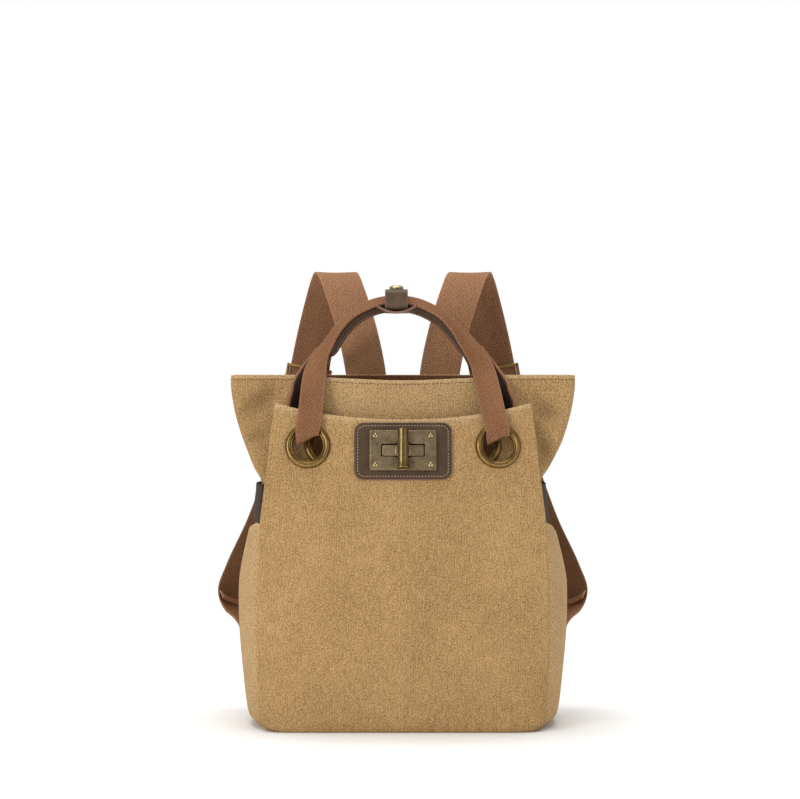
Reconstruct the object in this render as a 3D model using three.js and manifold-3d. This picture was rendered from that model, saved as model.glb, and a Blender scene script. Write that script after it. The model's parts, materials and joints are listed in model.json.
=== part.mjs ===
// Canvas and leather backpack with a turn lock, threaded carrying handles and shoulder straps.
// Millimetres, +Z up. The origin is the middle of the flat base, and the front faces -Y.

import * as THREE from 'three';
import { mergeVertices } from 'three/addons/utils/BufferGeometryUtils.js';
import Module from 'manifold-3d';

// Material thicknesses and the clearance between neighbouring pieces
const CANVAS = 1.8;
const LEATHER = 2.2;
const WEBBING = 1.6;
const FACING = 1;
const GAP = 0.3;
const SEAM_INSET = 2.8;

// Bag body: half widths at the corner seams and at the middle of the gussets, wall positions,
// and how far the side pockets stand off the gussets, by height
const BODY_SECTIONS = [
  { height: 2.3, corner: 122, side: 126, front: -57.5, back: 58, pocket: 7 },
  { height: 7, corner: 125.5, side: 129, front: -60, back: 60, pocket: 10 },
  { height: 16, corner: 127.5, side: 131, front: -61.5, back: 61.5, pocket: 11 },
  { height: 50, corner: 130, side: 133.5, front: -63.5, back: 63, pocket: 12.5 },
  { height: 83, corner: 131, side: 135, front: -64.5, back: 64, pocket: 14 },
  { height: 111, corner: 131, side: 136, front: -65, back: 65, pocket: 14 },
  { height: 136, corner: 130.5, side: 136, front: -65, back: 65, pocket: 13.5 },
  { height: 162, corner: 130, side: 135, front: -64.5, back: 64.5, pocket: 11 },
  { height: 190, corner: 128.5, side: 133.5, front: -62.5, back: 62.5, pocket: 6 },
  { height: 207, corner: 127.5, side: 132.5, front: -59.5, back: 60.8, pocket: 0 },
  { height: 224, corner: 127.5, side: 131.5, front: -55.5, back: 58, pocket: 0 },
  { height: 236, corner: 135, side: 137.5, front: -52.5, back: 56, pocket: 0 },
  { height: 251, corner: 141.5, side: 143.5, front: -48.75, back: 53, pocket: 0 },
  { height: 267, corner: 148, side: 149.5, front: -44.75, back: 50, pocket: 0 },
  { height: 288, corner: 154.5, side: 156, front: -39.5, back: 46, pocket: 0 },
  { height: 310, corner: 158.5, side: 159.5, front: -35.5, back: 42, pocket: 0 },
  { height: 317, corner: 158.5, side: 159.5, front: -35, back: 41, pocket: 0 },
];
const WALL_ROWS = BODY_SECTIONS.length - 1;
const BASE_THICKNESS = 2;
const BASE_CORNER_RADIUS = 14;
const WALL_BOTTOM = 2.3;
const RIM_HEIGHT = 319.5;
const BACK_RIM_HEIGHT = 322.5;
const RIM_DIP = 2.8;
const RIM_DIP_REACH = 0.36;
const WING_TURN = 8;
const WING_START = 225;
const FACING_HEIGHT = 28;

// Soft folds of the wings beside the front panel: a line through (x, z), leaning from upright
const WING_FOLDS = [
  { x: -130, z: 298, lean: 52, length: 25, width: 9, depth: 4.6 },
  { x: -135, z: 265, lean: 70, length: 16, width: 7, depth: 3 },
  { x: 130, z: 290, lean: -58, length: 18, width: 9, depth: 5 },
  { x: 130, z: 252, lean: -30, length: 20, width: 8, depth: 4 },
];

// Front panel: half width, stand-off of its edges from the front wall, and crown of its middle, by height
const PANEL_SECTIONS = [
  { height: 2.3, half: 124.5, edge: 0, crown: 0 },
  { height: 7, half: 128.4, edge: 0, crown: 1.2 },
  { height: 16, half: 130.2, edge: 0, crown: 2.6 },
  { height: 50, half: 131, edge: 0, crown: 6 },
  { height: 83, half: 131.5, edge: 0, crown: 8.5 },
  { height: 111, half: 131.3, edge: 0, crown: 10 },
  { height: 136, half: 130.6, edge: 0, crown: 11 },
  { height: 162, half: 130, edge: 0, crown: 11.5 },
  { height: 190, half: 129, edge: 0.5, crown: 11.5 },
  { height: 207, half: 127, edge: 2.5, crown: 10.5 },
  { height: 224, half: 125, edge: 5.5, crown: 8 },
  { height: 236, half: 123.2, edge: 7.5, crown: 6 },
  { height: 251, half: 121.8, edge: 9, crown: 4.5 },
  { height: 267, half: 120.3, edge: 10, crown: 3.5 },
  { height: 297, half: 116, edge: 11, crown: 2.5 },
];
const PANEL_ROWS = PANEL_SECTIONS.length - 1;
const PANEL_TOP_MIDDLE = 281;
const PANEL_TOP_CORNER = 297;
const PANEL_TOP_POWER = 2.2;
const PANEL_CROWN_POWER = 4;
const PANEL_SEAM = 0.6;

// Side pockets and the leather tabs that draw the gussets in
const POCKET_ROWS = 8;
const POCKET_SEAM = 0.7;
const POCKET_TOP_CORNER = 187;
const POCKET_TOP_MIDDLE = 176;
const TAB_BOTTOM = 190;
const TAB_TOP = 224;
const TAB_END_INSET = 0.03;

// Brass rings in the front panel and in the wall behind it
const GROMMET_HEIGHT = 255.5;
const PANEL_GROMMET_X = 86;
const WALL_GROMMET_X = 69;
const GROMMET = { bore: 14, barrel: 15.3, flange: 20.7, washer: 18.5, rise: 3.4, washerThickness: 1 };
const GROMMET_PLAY = 0.9;
const GROMMET_SIDES = 18;
const CANVAS_HOLE_RADIUS = 15.7;
const HOLE_REACH = 12;

// Turn lock
const LOCK_HEIGHT = 252;
const LOCK_PATCH = { width: 88, height: 53, corner: 9 };
const LOCK_PLATE = { width: 60, height: 37, corner: 3, thickness: 3.2 };
const LOCK_RECESS = { width: 50, height: 28, depth: 1.4 };
const LOCK_SLOT = { halfLength: 19.7, halfHeight: 6, roundRadius: 9 };
const LOCK_BOSS = { radius: 7.6, height: 2.4 };
const TOGGLE = { radius: 5.2, length: 37, edge: 0.9, stemRadius: 3.2, clearance: 1.6 };
const RIVET = { radius: 2.8, rise: 1.7, x: 25, y: 13.4 };

// Carrying handles: stations of one half, from the top of the arch down the leg. The turn is 0 where
// the webbing faces forward and 90 where it lies over the arch; the skew adds to it on the left and
// takes from it on the right. The front leg is placed by how far it stands proud of the front panel:
// down in front of it, in through the ring, up behind it and in under the shoulder of the arch.
const HANDLE_WIDTH = 22;
const HANDLE_TILT = 20;
const HANDLE_LEAN = -6;
const HANDLE_LEAN_START = 250;
const ARCH_TOP = 392;
const HANDLE_ARCH = [
  { x: 0, y: -14.5, z: ARCH_TOP, turn: 90, skew: 0 },
  { x: 20, y: -14.5, z: 389.5, turn: 90, skew: 0 },
  { x: 40, y: -15.5, z: 380, turn: 88, skew: 2 },
  { x: 54, y: -18, z: 367, turn: 78, skew: 6 },
  { x: 65, y: -22, z: 351, turn: 62, skew: 12 },
  { x: 73, y: -28, z: 334, turn: 34, skew: 10 },
];
const FRONT_LEG = [
  { x: 78, proud: -6, z: 312, turn: 0, skew: 0, width: 22 },
  { x: 82, proud: 3.4, z: 291, turn: 0, skew: 0, width: 22 },
  { x: 84.5, proud: 6.8, z: 278, turn: 0, skew: 0, width: 22 },
  { x: 86, proud: 6.8, z: 267, turn: 0, skew: 0, width: 21.5 },
  { x: 86, proud: 4.4, z: 260.7, turn: 0, skew: 0, width: 21 },
  { x: 86, proud: -0.5, z: 258.9, turn: 0, skew: 0, width: 21 },
  { x: 86, proud: -5.4, z: 260.7, turn: 0, skew: 0, width: 21 },
  { x: 86.5, proud: -7.2, z: 267, turn: 0, skew: 0, width: 21.5 },
  { x: 89, proud: -7, z: 278, turn: 0, skew: 0, width: 22 },
  { x: 93, proud: -6.4, z: 294, turn: 0, skew: 0, width: 22 },
  { x: 86.5, proud: -11.8, z: 316.5, turn: 5, skew: 2, width: 22 },
  { x: 78, proud: -27.4, z: 333, turn: 34, skew: 10, width: 22 },
  { x: 69.5, proud: -32.3, z: 345, turn: 52, skew: 12, width: 22 },
];
const BACK_LEG = [
  { x: 77.5, y: -43.6, z: 324.5, turn: 0, skew: 0, width: 22 },
  { x: 80, y: -47.9, z: 290, turn: 0, skew: 0, width: 22 },
  { x: 81, y: -53.6, z: 262, turn: 0, skew: 0, width: 22 },
];
const HANDLE_STEPS = 70;
const BACK_HANDLE_STEPS = 46;
const GRIP_RADIUS = 3.6;
const GRIP_QUARTER_SIDES = 5;
const GRIP_STEPS = 20;
const GRIP_END_HEIGHT = 352;

// Leather keeper round both arches, wider below them, and its stud
const KEEPER = { halfDepth: 30.5, top: 399.5, bottom: 377.2, tongue: 21, saddle: 37 };
const STUD = { radius: 6, neck: 2.6, rise: 4.4 };

// Shoulder straps: stations of the left one's centre line from its seam on the back wall, over the top
// and down to the lower corner. The turn is 0 where the webbing faces the back and 90 where its width
// runs forward.
const STRAP_WIDTH = 38;
const STRAP_STATIONS = [
  { x: -34, y: 49.2, z: 274, turn: 0 },
  { x: -34, y: 45.2, z: 298, turn: 0 },
  { x: -35, y: 44, z: 322, turn: 0 },
  { x: -43, y: 56, z: 362, turn: 0 },
  { x: -56, y: 72, z: 404, turn: 0 },
  { x: -62, y: 84, z: 419, turn: 0 },
  { x: -67, y: 97, z: 422, turn: 0 },
  { x: -71, y: 109, z: 414, turn: 0 },
  { x: -77, y: 118, z: 394, turn: 0 },
  { x: -85, y: 122, z: 362, turn: 0 },
  { x: -92, y: 120, z: 328, turn: 0 },
  { x: -101, y: 113, z: 282, turn: 0 },
  { x: -114, y: 103, z: 232, turn: 8 },
  { x: -134, y: 93, z: 178, turn: 28 },
  { x: -157, y: 87, z: 134, turn: 50 },
  { x: -167, y: 84.5, z: 110, turn: 60 },
  { x: -164, y: 82, z: 93, turn: 55 },
  { x: -149, y: 78, z: 78, turn: 32 },
  { x: -125, y: 70, z: 62, turn: 0 },
  { x: -98, y: 66.9, z: 46, turn: 0 },
];
const STRAP_LOOP_TILT = 38;
const STRAP_STEPS = 60;
const SLIDER = { station: 10.2, rail: 3, bar: 3, depth: 2, length: 24 };

// Finishes
const FINISH = {
  canvas: new THREE.MeshStandardMaterial({ color: '#b08d5c', roughness: 0.95, metalness: 0 }),
  webbing: new THREE.MeshStandardMaterial({ color: '#8c624c', roughness: 0.9, metalness: 0 }),
  leather: new THREE.MeshStandardMaterial({ color: '#54443a', roughness: 0.6, metalness: 0 }),
  brass: new THREE.MeshStandardMaterial({ color: '#82693c', roughness: 0.4, metalness: 1 }),
};

const backpack = new THREE.Group();
const solids = await Module();
solids.setup();

function addPiece(name, finish, geometry, seat = new THREE.Matrix4()) {
  geometry.computeVertexNormals();
  const piece = new THREE.Mesh(geometry, FINISH[finish]);
  piece.name = name;
  piece.applyMatrix4(seat);
  backpack.add(piece);
}

// Smooth reading of one column of a table between its rows
function readTable(table, key, value, column) {
  let row = 0;
  while (row < table.length - 2 && value > table[row + 1][key]) {
    row += 1;
  }
  const last = table.length - 1;
  const [before, start, end, after] = [-1, 0, 1, 2].map(
    (step) => table[Math.min(Math.max(row + step, 0), last)],
  );
  const span = end[key] - start[key];
  const t = Math.min(Math.max((value - start[key]) / span, 0), 1);
  const startSlope = ((end[column] - before[column]) / (end[key] - before[key])) * span;
  const endSlope = ((after[column] - start[column]) / (after[key] - start[key])) * span;
  const rise = end[column] - start[column];
  const bend = startSlope + endSlope - 2 * rise;
  return start[column] + t * (startSlope + t * (rise - startSlope - bend + t * bend));
}

function normalOf(point, u, v) {
  const step = 1e-3;
  const alongU = point(Math.min(u + step, 1), v).sub(point(Math.max(u - step, 0), v));
  const alongV = point(u, Math.min(v + step, 1)).sub(point(u, Math.max(v - step, 0)));
  return alongU.cross(alongV).normalize();
}

// A wall of even thickness behind the surface point(u, v), with u to the right and v upwards when it
// is seen from outside. A closed wall joins its first and last columns.
function thickWall(point, uCount, vCount, thickness, closed = false) {
  const columns = closed ? uCount : uCount + 1;
  const rows = vCount + 1;
  const layer = columns * rows;
  const positions = [];
  for (const depth of [0, thickness]) {
    for (let index = 0; index < layer; index += 1) {
      const u = (index % columns) / uCount;
      const v = Math.floor(index / columns) / vCount;
      const place = point(u, v).addScaledVector(normalOf(point, u, v), -depth);
      positions.push(place.x, place.y, place.z);
    }
  }
  const outer = (column, row) => row * columns + (column % columns);
  const inner = (column, row) => layer + outer(column, row);
  const triangles = [];
  const addQuad = (a, b, c, d) => triangles.push(a, b, c, a, c, d);
  for (let column = 0; column < uCount; column += 1) {
    const next = column + 1;
    addQuad(outer(column, 0), inner(column, 0), inner(next, 0), outer(next, 0));
    addQuad(outer(column, vCount), outer(next, vCount), inner(next, vCount), inner(column, vCount));
    for (let row = 0; row < vCount; row += 1) {
      addQuad(outer(column, row), outer(next, row), outer(next, row + 1), outer(column, row + 1));
      addQuad(inner(column, row), inner(column, row + 1), inner(next, row + 1), inner(next, row));
    }
  }
  for (let row = 0; row < vCount && !closed; row += 1) {
    addQuad(outer(0, row), outer(0, row + 1), inner(0, row + 1), inner(0, row));
    addQuad(outer(uCount, row), inner(uCount, row), inner(uCount, row + 1), outer(uCount, row + 1));
  }
  const geometry = new THREE.BufferGeometry();
  geometry.setAttribute('position', new THREE.Float32BufferAttribute(positions, 3));
  geometry.setIndex(triangles);
  return geometry;
}

// Shared vertices only, with the faces turned outwards
function weld(source) {
  const geometry = source.clone();
  geometry.deleteAttribute('normal');
  geometry.deleteAttribute('uv');
  const welded = mergeVertices(geometry, 1e-4);
  const place = welded.getAttribute('position');
  const corners = [0, 1, 2].map(() => new THREE.Vector3());
  const index = welded.getIndex();
  let volume = 0;
  for (let at = 0; at < index.count; at += 3) {
    corners.forEach((corner, step) => corner.fromBufferAttribute(place, index.getX(at + step)));
    volume += corners[0].dot(corners[1].cross(corners[2]));
  }
  if (volume < 0) {
    welded.setIndex(Array.from(index.array).reverse());
  }
  return welded;
}

function toSolid(geometry) {
  const welded = weld(geometry);
  return new solids.Manifold(new solids.Mesh({
    numProp: 3,
    vertProperties: new Float32Array(welded.getAttribute('position').array),
    triVerts: new Uint32Array(welded.getIndex().array),
  }));
}

function toGeometry(solid) {
  const mesh = solid.getMesh();
  const geometry = new THREE.BufferGeometry();
  geometry.setAttribute('position', new THREE.BufferAttribute(mesh.vertProperties, 3));
  geometry.setIndex(new THREE.BufferAttribute(mesh.triVerts, 1));
  return geometry;
}

function cutOut(geometry, tools) {
  return toGeometry(tools.reduce((solid, tool) => solid.subtract(toSolid(tool)), toSolid(geometry)));
}

function joinAll(geometries) {
  const [first, ...others] = geometries.map(toSolid);
  return toGeometry(others.reduce((solid, other) => solid.add(other), first));
}

// A turned piece about +Z from a profile of [radius, height] points
function turned(profile, sides) {
  const points = profile.map(([radius, height]) => new THREE.Vector2(radius, height));
  return weld(new THREE.LatheGeometry(points, sides).rotateX(Math.PI / 2));
}

function disc(radius, low, high, sides) {
  return turned([[0, low], [radius, low], [radius, high], [0, high]], sides);
}

function roundedRectangle(width, height, corner) {
  const x = width / 2 - corner;
  const y = height / 2 - corner;
  const shape = new THREE.Shape();
  shape.absarc(x, y, corner, 0, Math.PI / 2);
  shape.absarc(-x, y, corner, Math.PI / 2, Math.PI);
  shape.absarc(-x, -y, corner, Math.PI, 1.5 * Math.PI);
  shape.absarc(x, -y, corner, 1.5 * Math.PI, 2 * Math.PI);
  return shape;
}

function slab(shape, low, high, curveSegments = 4) {
  const options = { depth: high - low, bevelEnabled: false, curveSegments };
  return weld(new THREE.ExtrudeGeometry(shape, options).translate(0, 0, low));
}

// Bag body surfaces
const bodyAt = (column, z) => readTable(BODY_SECTIONS, 'height', z, column);
const panelAt = (column, z) => readTable(PANEL_SECTIONS, 'height', z, column);

function foldDepth(x, z) {
  return WING_FOLDS.reduce((sum, fold) => {
    const lean = THREE.MathUtils.degToRad(fold.lean);
    const along = (x - fold.x) * Math.sin(lean) + (z - fold.z) * Math.cos(lean);
    const across = (x - fold.x) * Math.cos(lean) - (z - fold.z) * Math.sin(lean);
    return sum + fold.depth * Math.exp(-((across / fold.width) ** 2) - (along / fold.length) ** 2);
  }, 0);
}

// The wings turn back towards the gussets above the leather tabs
function wingTurn(x, z) {
  const share = THREE.MathUtils.smoothstep(z, WING_START, RIM_HEIGHT);
  return WING_TURN * share * Math.abs(x / bodyAt('corner', z)) ** 4;
}

const frontY = (x, z) => bodyAt('front', z) + wingTurn(x, z) + foldDepth(x, z);
const backY = (x, z) => bodyAt('back', z) - wingTurn(x, z);
const between = (start, end, t) => start + (end - start) * t;

// Rows of every wall lie at the heights of the body's sections, and the last row at its own top edge
function rowHeight(v, rows, top) {
  const place = v * rows;
  const row = Math.min(Math.floor(place), rows - 1);
  const end = row === rows - 1 ? top : BODY_SECTIONS[row + 1].height;
  return between(BODY_SECTIONS[row].height, end, place - row);
}

function frontWallPoint(u, v) {
  const rimDip = RIM_DIP * Math.exp(-(((2 * u - 1) / RIM_DIP_REACH) ** 2));
  const z = rowHeight(v, WALL_ROWS, RIM_HEIGHT - rimDip);
  const x = (2 * u - 1) * bodyAt('corner', z);
  return new THREE.Vector3(x, frontY(x, z), z);
}

function backWallPoint(u, v) {
  const z = rowHeight(v, WALL_ROWS, BACK_RIM_HEIGHT);
  const x = (1 - 2 * u) * bodyAt('corner', z);
  return new THREE.Vector3(x, backY(x, z), z);
}

// The gussets run between the two walls and belly out between their seams
function gussetPoint(side, t, z, standOff = 0) {
  const corner = bodyAt('corner', z);
  const front = frontY(side * corner, z) + SEAM_INSET;
  const y = between(front, backY(side * corner, z) - SEAM_INSET, t);
  const belly = 4 * t * (1 - t);
  const x = corner + (bodyAt('side', z) - corner) * belly + standOff;
  return new THREE.Vector3(side * x, y, z);
}

function sidePoint(side, place) {
  return (u, v) => place(side > 0 ? u : 1 - u, v);
}

function pocketPoint(side, t, v) {
  const belly = 4 * t * (1 - t);
  const z = rowHeight(v, POCKET_ROWS, between(POCKET_TOP_CORNER, POCKET_TOP_MIDDLE, belly));
  return gussetPoint(side, t, z, POCKET_SEAM + CANVAS + bodyAt('pocket', z) * Math.sqrt(belly));
}

function panelY(x, z) {
  const roundness = Math.max(1 - Math.abs(x / panelAt('half', z)) ** PANEL_CROWN_POWER, 0);
  const standOff = panelAt('edge', z) + panelAt('crown', z) * roundness;
  return bodyAt('front', z) - PANEL_SEAM - CANVAS - standOff;
}

function panelPoint(u, v) {
  const sideways = 2 * u - 1;
  const rise = (PANEL_TOP_CORNER - PANEL_TOP_MIDDLE) * Math.abs(sideways) ** PANEL_TOP_POWER;
  const z = rowHeight(v, PANEL_ROWS, PANEL_TOP_MIDDLE + rise);
  const x = sideways * panelAt('half', z);
  return new THREE.Vector3(x, panelY(x, z), z);
}

// The frame of a piece that sits on a front surface: x to the right, y up the slope, z outwards
function frontSeat(surfaceY, x, z) {
  const step = 8;
  const right = new THREE.Vector3(2 * step, surfaceY(x + step, z) - surfaceY(x - step, z), 0);
  const up = new THREE.Vector3(0, surfaceY(x, z + step) - surfaceY(x, z - step), 2 * step);
  const out = right.clone().cross(up).normalize();
  right.normalize();
  up.copy(out).cross(right);
  const seat = new THREE.Matrix4().makeBasis(right, up, out);
  return seat.setPosition(x, surfaceY(x, z), z);
}

const canvasHole = (seat) => disc(CANVAS_HOLE_RADIUS, -HOLE_REACH, HOLE_REACH, GROMMET_SIDES)
  .applyMatrix4(seat);

// Walls, base and panel
const panelSeats = [-1, 1].map((side) => frontSeat(panelY, side * PANEL_GROMMET_X, GROMMET_HEIGHT));
const wallSeats = [-1, 1].map((side) => frontSeat(frontY, side * WALL_GROMMET_X, GROMMET_HEIGHT));
const SIDES = [{ name: 'left', sign: -1, index: 0 }, { name: 'right', sign: 1, index: 1 }];

const baseShape = roundedRectangle(
  2 * bodyAt('corner', WALL_BOTTOM),
  bodyAt('back', WALL_BOTTOM) - bodyAt('front', WALL_BOTTOM),
  BASE_CORNER_RADIUS,
);
addPiece('base', 'canvas', slab(baseShape, 0, BASE_THICKNESS));
addPiece('body_front_wall', 'canvas',
  cutOut(thickWall(frontWallPoint, 16, WALL_ROWS, CANVAS), wallSeats.map(canvasHole)));
addPiece('body_back_wall', 'canvas', thickWall(backWallPoint, 10, WALL_ROWS, CANVAS));
addPiece('front_panel', 'canvas',
  cutOut(thickWall(panelPoint, 16, PANEL_ROWS, CANVAS), panelSeats.map(canvasHole)));

for (const { name, sign } of SIDES) {
  const gusset = (t, v) => gussetPoint(
    sign, t, rowHeight(v, WALL_ROWS, between(RIM_HEIGHT, BACK_RIM_HEIGHT, t)),
  );
  const pocket = (t, v) => pocketPoint(sign, t, v);
  const tab = (t, v) => gussetPoint(
    sign,
    between(TAB_END_INSET, 1 - TAB_END_INSET, t),
    between(TAB_BOTTOM, TAB_TOP, v),
    GAP + LEATHER,
  );
  addPiece(`side_gusset_${name}`, 'canvas', thickWall(sidePoint(sign, gusset), 6, WALL_ROWS, CANVAS));
  addPiece(`side_pocket_${name}`, 'canvas', thickWall(sidePoint(sign, pocket), 8, POCKET_ROWS, CANVAS));
  addPiece(`side_tab_${name}`, 'leather', thickWall(sidePoint(sign, tab), 6, 2, LEATHER));
}

// The facing runs round the inside of the rim, just behind the walls
function facingPoint(u, v) {
  const turn = 2 * Math.PI * u;
  const squareness = 0.25;
  const sideways = Math.sign(Math.sin(turn)) * Math.abs(Math.sin(turn)) ** squareness;
  const depthways = -Math.sign(Math.cos(turn)) * Math.abs(Math.cos(turn)) ** squareness;
  const top = between(RIM_HEIGHT - RIM_DIP, BACK_RIM_HEIGHT, (1 + depthways) / 2) - GAP;
  const z = between(RIM_HEIGHT - FACING_HEIGHT, top, v);
  const inset = CANVAS + 2 * GAP;
  const halfWidth = bodyAt('corner', z) - inset;
  const front = frontY(halfWidth, z) + inset;
  const back = backY(halfWidth, z) - inset;
  const x = sideways * halfWidth;
  const bow = depthways < 0 ? frontY(x, z) + inset - front : backY(x, z) - inset - back;
  return new THREE.Vector3(x, (front + back) / 2 + ((back - front) / 2) * depthways + bow, z);
}
addPiece('rim_facing', 'webbing', thickWall(facingPoint, 32, 2, FACING, true));

// Brass rings
const ring = turned([
  [GROMMET.bore, -CANVAS - GROMMET_PLAY - GROMMET.washerThickness],
  [GROMMET.bore, GROMMET.rise * 0.75],
  [GROMMET.bore + 1.2, GROMMET.rise],
  [GROMMET.flange - 2.4, GROMMET.rise],
  [GROMMET.flange, GROMMET.rise * 0.45],
  [GROMMET.flange, GAP],
  [GROMMET.barrel, GAP],
  [GROMMET.barrel, -CANVAS - GROMMET_PLAY],
  [GROMMET.washer, -CANVAS - GROMMET_PLAY],
  [GROMMET.washer, -CANVAS - GROMMET_PLAY - GROMMET.washerThickness],
  [GROMMET.bore, -CANVAS - GROMMET_PLAY - GROMMET.washerThickness],
], GROMMET_SIDES);
for (const { name, index } of SIDES) {
  addPiece(`grommet_panel_${name}`, 'brass', ring.clone(), panelSeats[index]);
  addPiece(`grommet_wall_${name}`, 'brass', ring.clone(), wallSeats[index]);
}

// Turn lock, in layers outwards from the panel
const lockSeat = frontSeat(panelY, 0, LOCK_HEIGHT);
const patchTop = GAP + LEATHER;
const plateLow = patchTop + GAP;
const plateTop = plateLow + LOCK_PLATE.thickness;
const baseTop = plateLow + LOCK_RECESS.depth - GAP;
const bossTop = baseTop + LOCK_BOSS.height;

function slotHole() {
  const { halfLength, halfHeight, roundRadius } = LOCK_SLOT;
  const meet = Math.asin(halfHeight / roundRadius);
  const hole = new THREE.Path();
  hole.moveTo(halfLength, -halfHeight);
  hole.lineTo(halfLength, halfHeight);
  hole.absarc(0, 0, roundRadius, meet, Math.PI - meet);
  hole.lineTo(-halfLength, halfHeight);
  hole.lineTo(-halfLength, -halfHeight);
  hole.absarc(0, 0, roundRadius, Math.PI + meet, 2 * Math.PI - meet);
  hole.closePath();
  return hole;
}

const plateShape = roundedRectangle(LOCK_PLATE.width, LOCK_PLATE.height, LOCK_PLATE.corner);
plateShape.holes.push(slotHole());
const recess = new THREE.BoxGeometry(LOCK_RECESS.width, LOCK_RECESS.height, 2 * LOCK_RECESS.depth);
recess.translate(0, 0, plateLow);
const lockBase = slab(
  roundedRectangle(LOCK_RECESS.width - 2 * GAP, LOCK_RECESS.height - 2 * GAP, 2),
  plateLow, baseTop,
);
const barrel = turned([
  [0, -TOGGLE.length / 2],
  [TOGGLE.radius - TOGGLE.edge, -TOGGLE.length / 2],
  [TOGGLE.radius, TOGGLE.edge - TOGGLE.length / 2],
  [TOGGLE.radius, TOGGLE.length / 2 - TOGGLE.edge],
  [TOGGLE.radius - TOGGLE.edge, TOGGLE.length / 2],
  [0, TOGGLE.length / 2],
], 20);
const barrelHeight = plateTop + TOGGLE.clearance + TOGGLE.radius;
barrel.rotateX(-Math.PI / 2).translate(0, 0, barrelHeight);
const stem = disc(TOGGLE.stemRadius, bossTop + GAP, barrelHeight, 12);
const patchShape = roundedRectangle(LOCK_PATCH.width, LOCK_PATCH.height, LOCK_PATCH.corner);

addPiece('lock_patch', 'leather', slab(patchShape, GAP, patchTop), lockSeat);
addPiece('lock_plate', 'brass', cutOut(slab(plateShape, plateLow, plateTop, 5), [recess]), lockSeat);
addPiece('lock_base', 'brass',
  joinAll([lockBase, disc(LOCK_BOSS.radius, plateLow + GAP, bossTop, 16)]), lockSeat);
addPiece('lock_toggle', 'brass', joinAll([barrel, stem]), lockSeat);

const rivetCorners = [[-1, 1], [1, 1], [-1, -1], [1, -1]];
rivetCorners.forEach(([right, up], index) => {
  const low = plateTop + GAP;
  const dome = turned([
    [0, low],
    [RIVET.radius, low],
    [RIVET.radius * 0.8, low + RIVET.rise * 0.7],
    [RIVET.radius * 0.35, low + RIVET.rise],
    [0, low + RIVET.rise],
  ], 10);
  dome.translate(right * RIVET.x, up * RIVET.y, 0);
  addPiece(`lock_rivet_${index + 1}`, 'brass', dome, lockSeat);
});

// Webbing: a ribbon along a table of stations. Its width runs sideways where the turn is 0 and along
// the given direction where the turn is 90.
function webbingFrame(stations, turnedAcross) {
  const rows = stations.map((station, index) => ({ index, ...station }));
  const curve = new THREE.CatmullRomCurve3(rows.map(({ x, y, z }) => new THREE.Vector3(x, y, z)));
  return (v) => {
    const index = v * (rows.length - 1);
    const turn = THREE.MathUtils.degToRad(readTable(rows, 'index', index, 'turn'));
    const side = readTable(rows, 'index', index, 'side');
    const tangent = curve.getTangent(v);
    const across = new THREE.Vector3(Math.cos(turn) * side, 0, 0);
    across.addScaledVector(turnedAcross, Math.sin(turn));
    across.addScaledVector(tangent, -across.dot(tangent)).normalize();
    return {
      centre: curve.getPoint(v),
      across,
      face: tangent.cross(across),
      width: readTable(rows, 'index', index, 'width'),
    };
  };
}

function ribbon(frame, steps) {
  const edge = (u, v) => {
    const { centre, across, width } = frame(v);
    return centre.addScaledVector(across, (0.5 - u) * width);
  };
  return thickWall(edge, 1, steps, WEBBING);
}

// Both halves of a handle, from its left end over the arch to its right end
function handleStations(half) {
  const placed = (row, side) => {
    const lean = HANDLE_LEAN * THREE.MathUtils.smoothstep(row.z, HANDLE_LEAN_START, ARCH_TOP);
    const turn = row.turn - side * row.skew;
    return { width: HANDLE_WIDTH, ...row, x: side * row.x + lean, turn, side };
  };
  const left = half.slice(1).reverse().map((row) => placed(row, -1));
  const right = half.slice(1).map((row) => placed(row, 1));
  return [...left, placed(half[0], 0), ...right];
}

const mirrored = (geometry, x, y) => weld(geometry.clone().scale(x, y, 1));

// A handle is made as the front one, and the back one is turned round by the sign of its depth
function addHandle(name, legRows, depthSign, steps) {
  const tilt = THREE.MathUtils.degToRad(HANDLE_TILT);
  const over = new THREE.Vector3(0, Math.cos(tilt), Math.sin(tilt));
  const frame = webbingFrame(handleStations([...HANDLE_ARCH, ...legRows]), over);
  addPiece(`handle_${name}`, 'webbing', mirrored(ribbon(frame, steps), 1, depthSign));
  const depth = GRIP_RADIUS + WEBBING + 3 * GAP;
  const underArch = [];
  for (let step = 0; step <= steps; step += 1) {
    const { centre, face } = frame(step / steps);
    if (centre.z > GRIP_END_HEIGHT) {
      underArch.push(centre.addScaledVector(face, -depth));
    }
  }
  const circle = new THREE.Shape().absarc(0, 0, GRIP_RADIUS, 0, 2 * Math.PI);
  const grip = new THREE.ExtrudeGeometry(circle, {
    steps: GRIP_STEPS,
    curveSegments: GRIP_QUARTER_SIDES,
    extrudePath: new THREE.CatmullRomCurve3(underArch),
  });
  addPiece(`grip_${name}`, 'leather', mirrored(grip, 1, depthSign));
}
const frontLeg = FRONT_LEG.map((row) => ({ ...row, y: panelY(row.x, row.z) - row.proud }));
addHandle('front', frontLeg, 1, HANDLE_STEPS);
addHandle('back', BACK_LEG, -1, BACK_HANDLE_STEPS);

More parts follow.
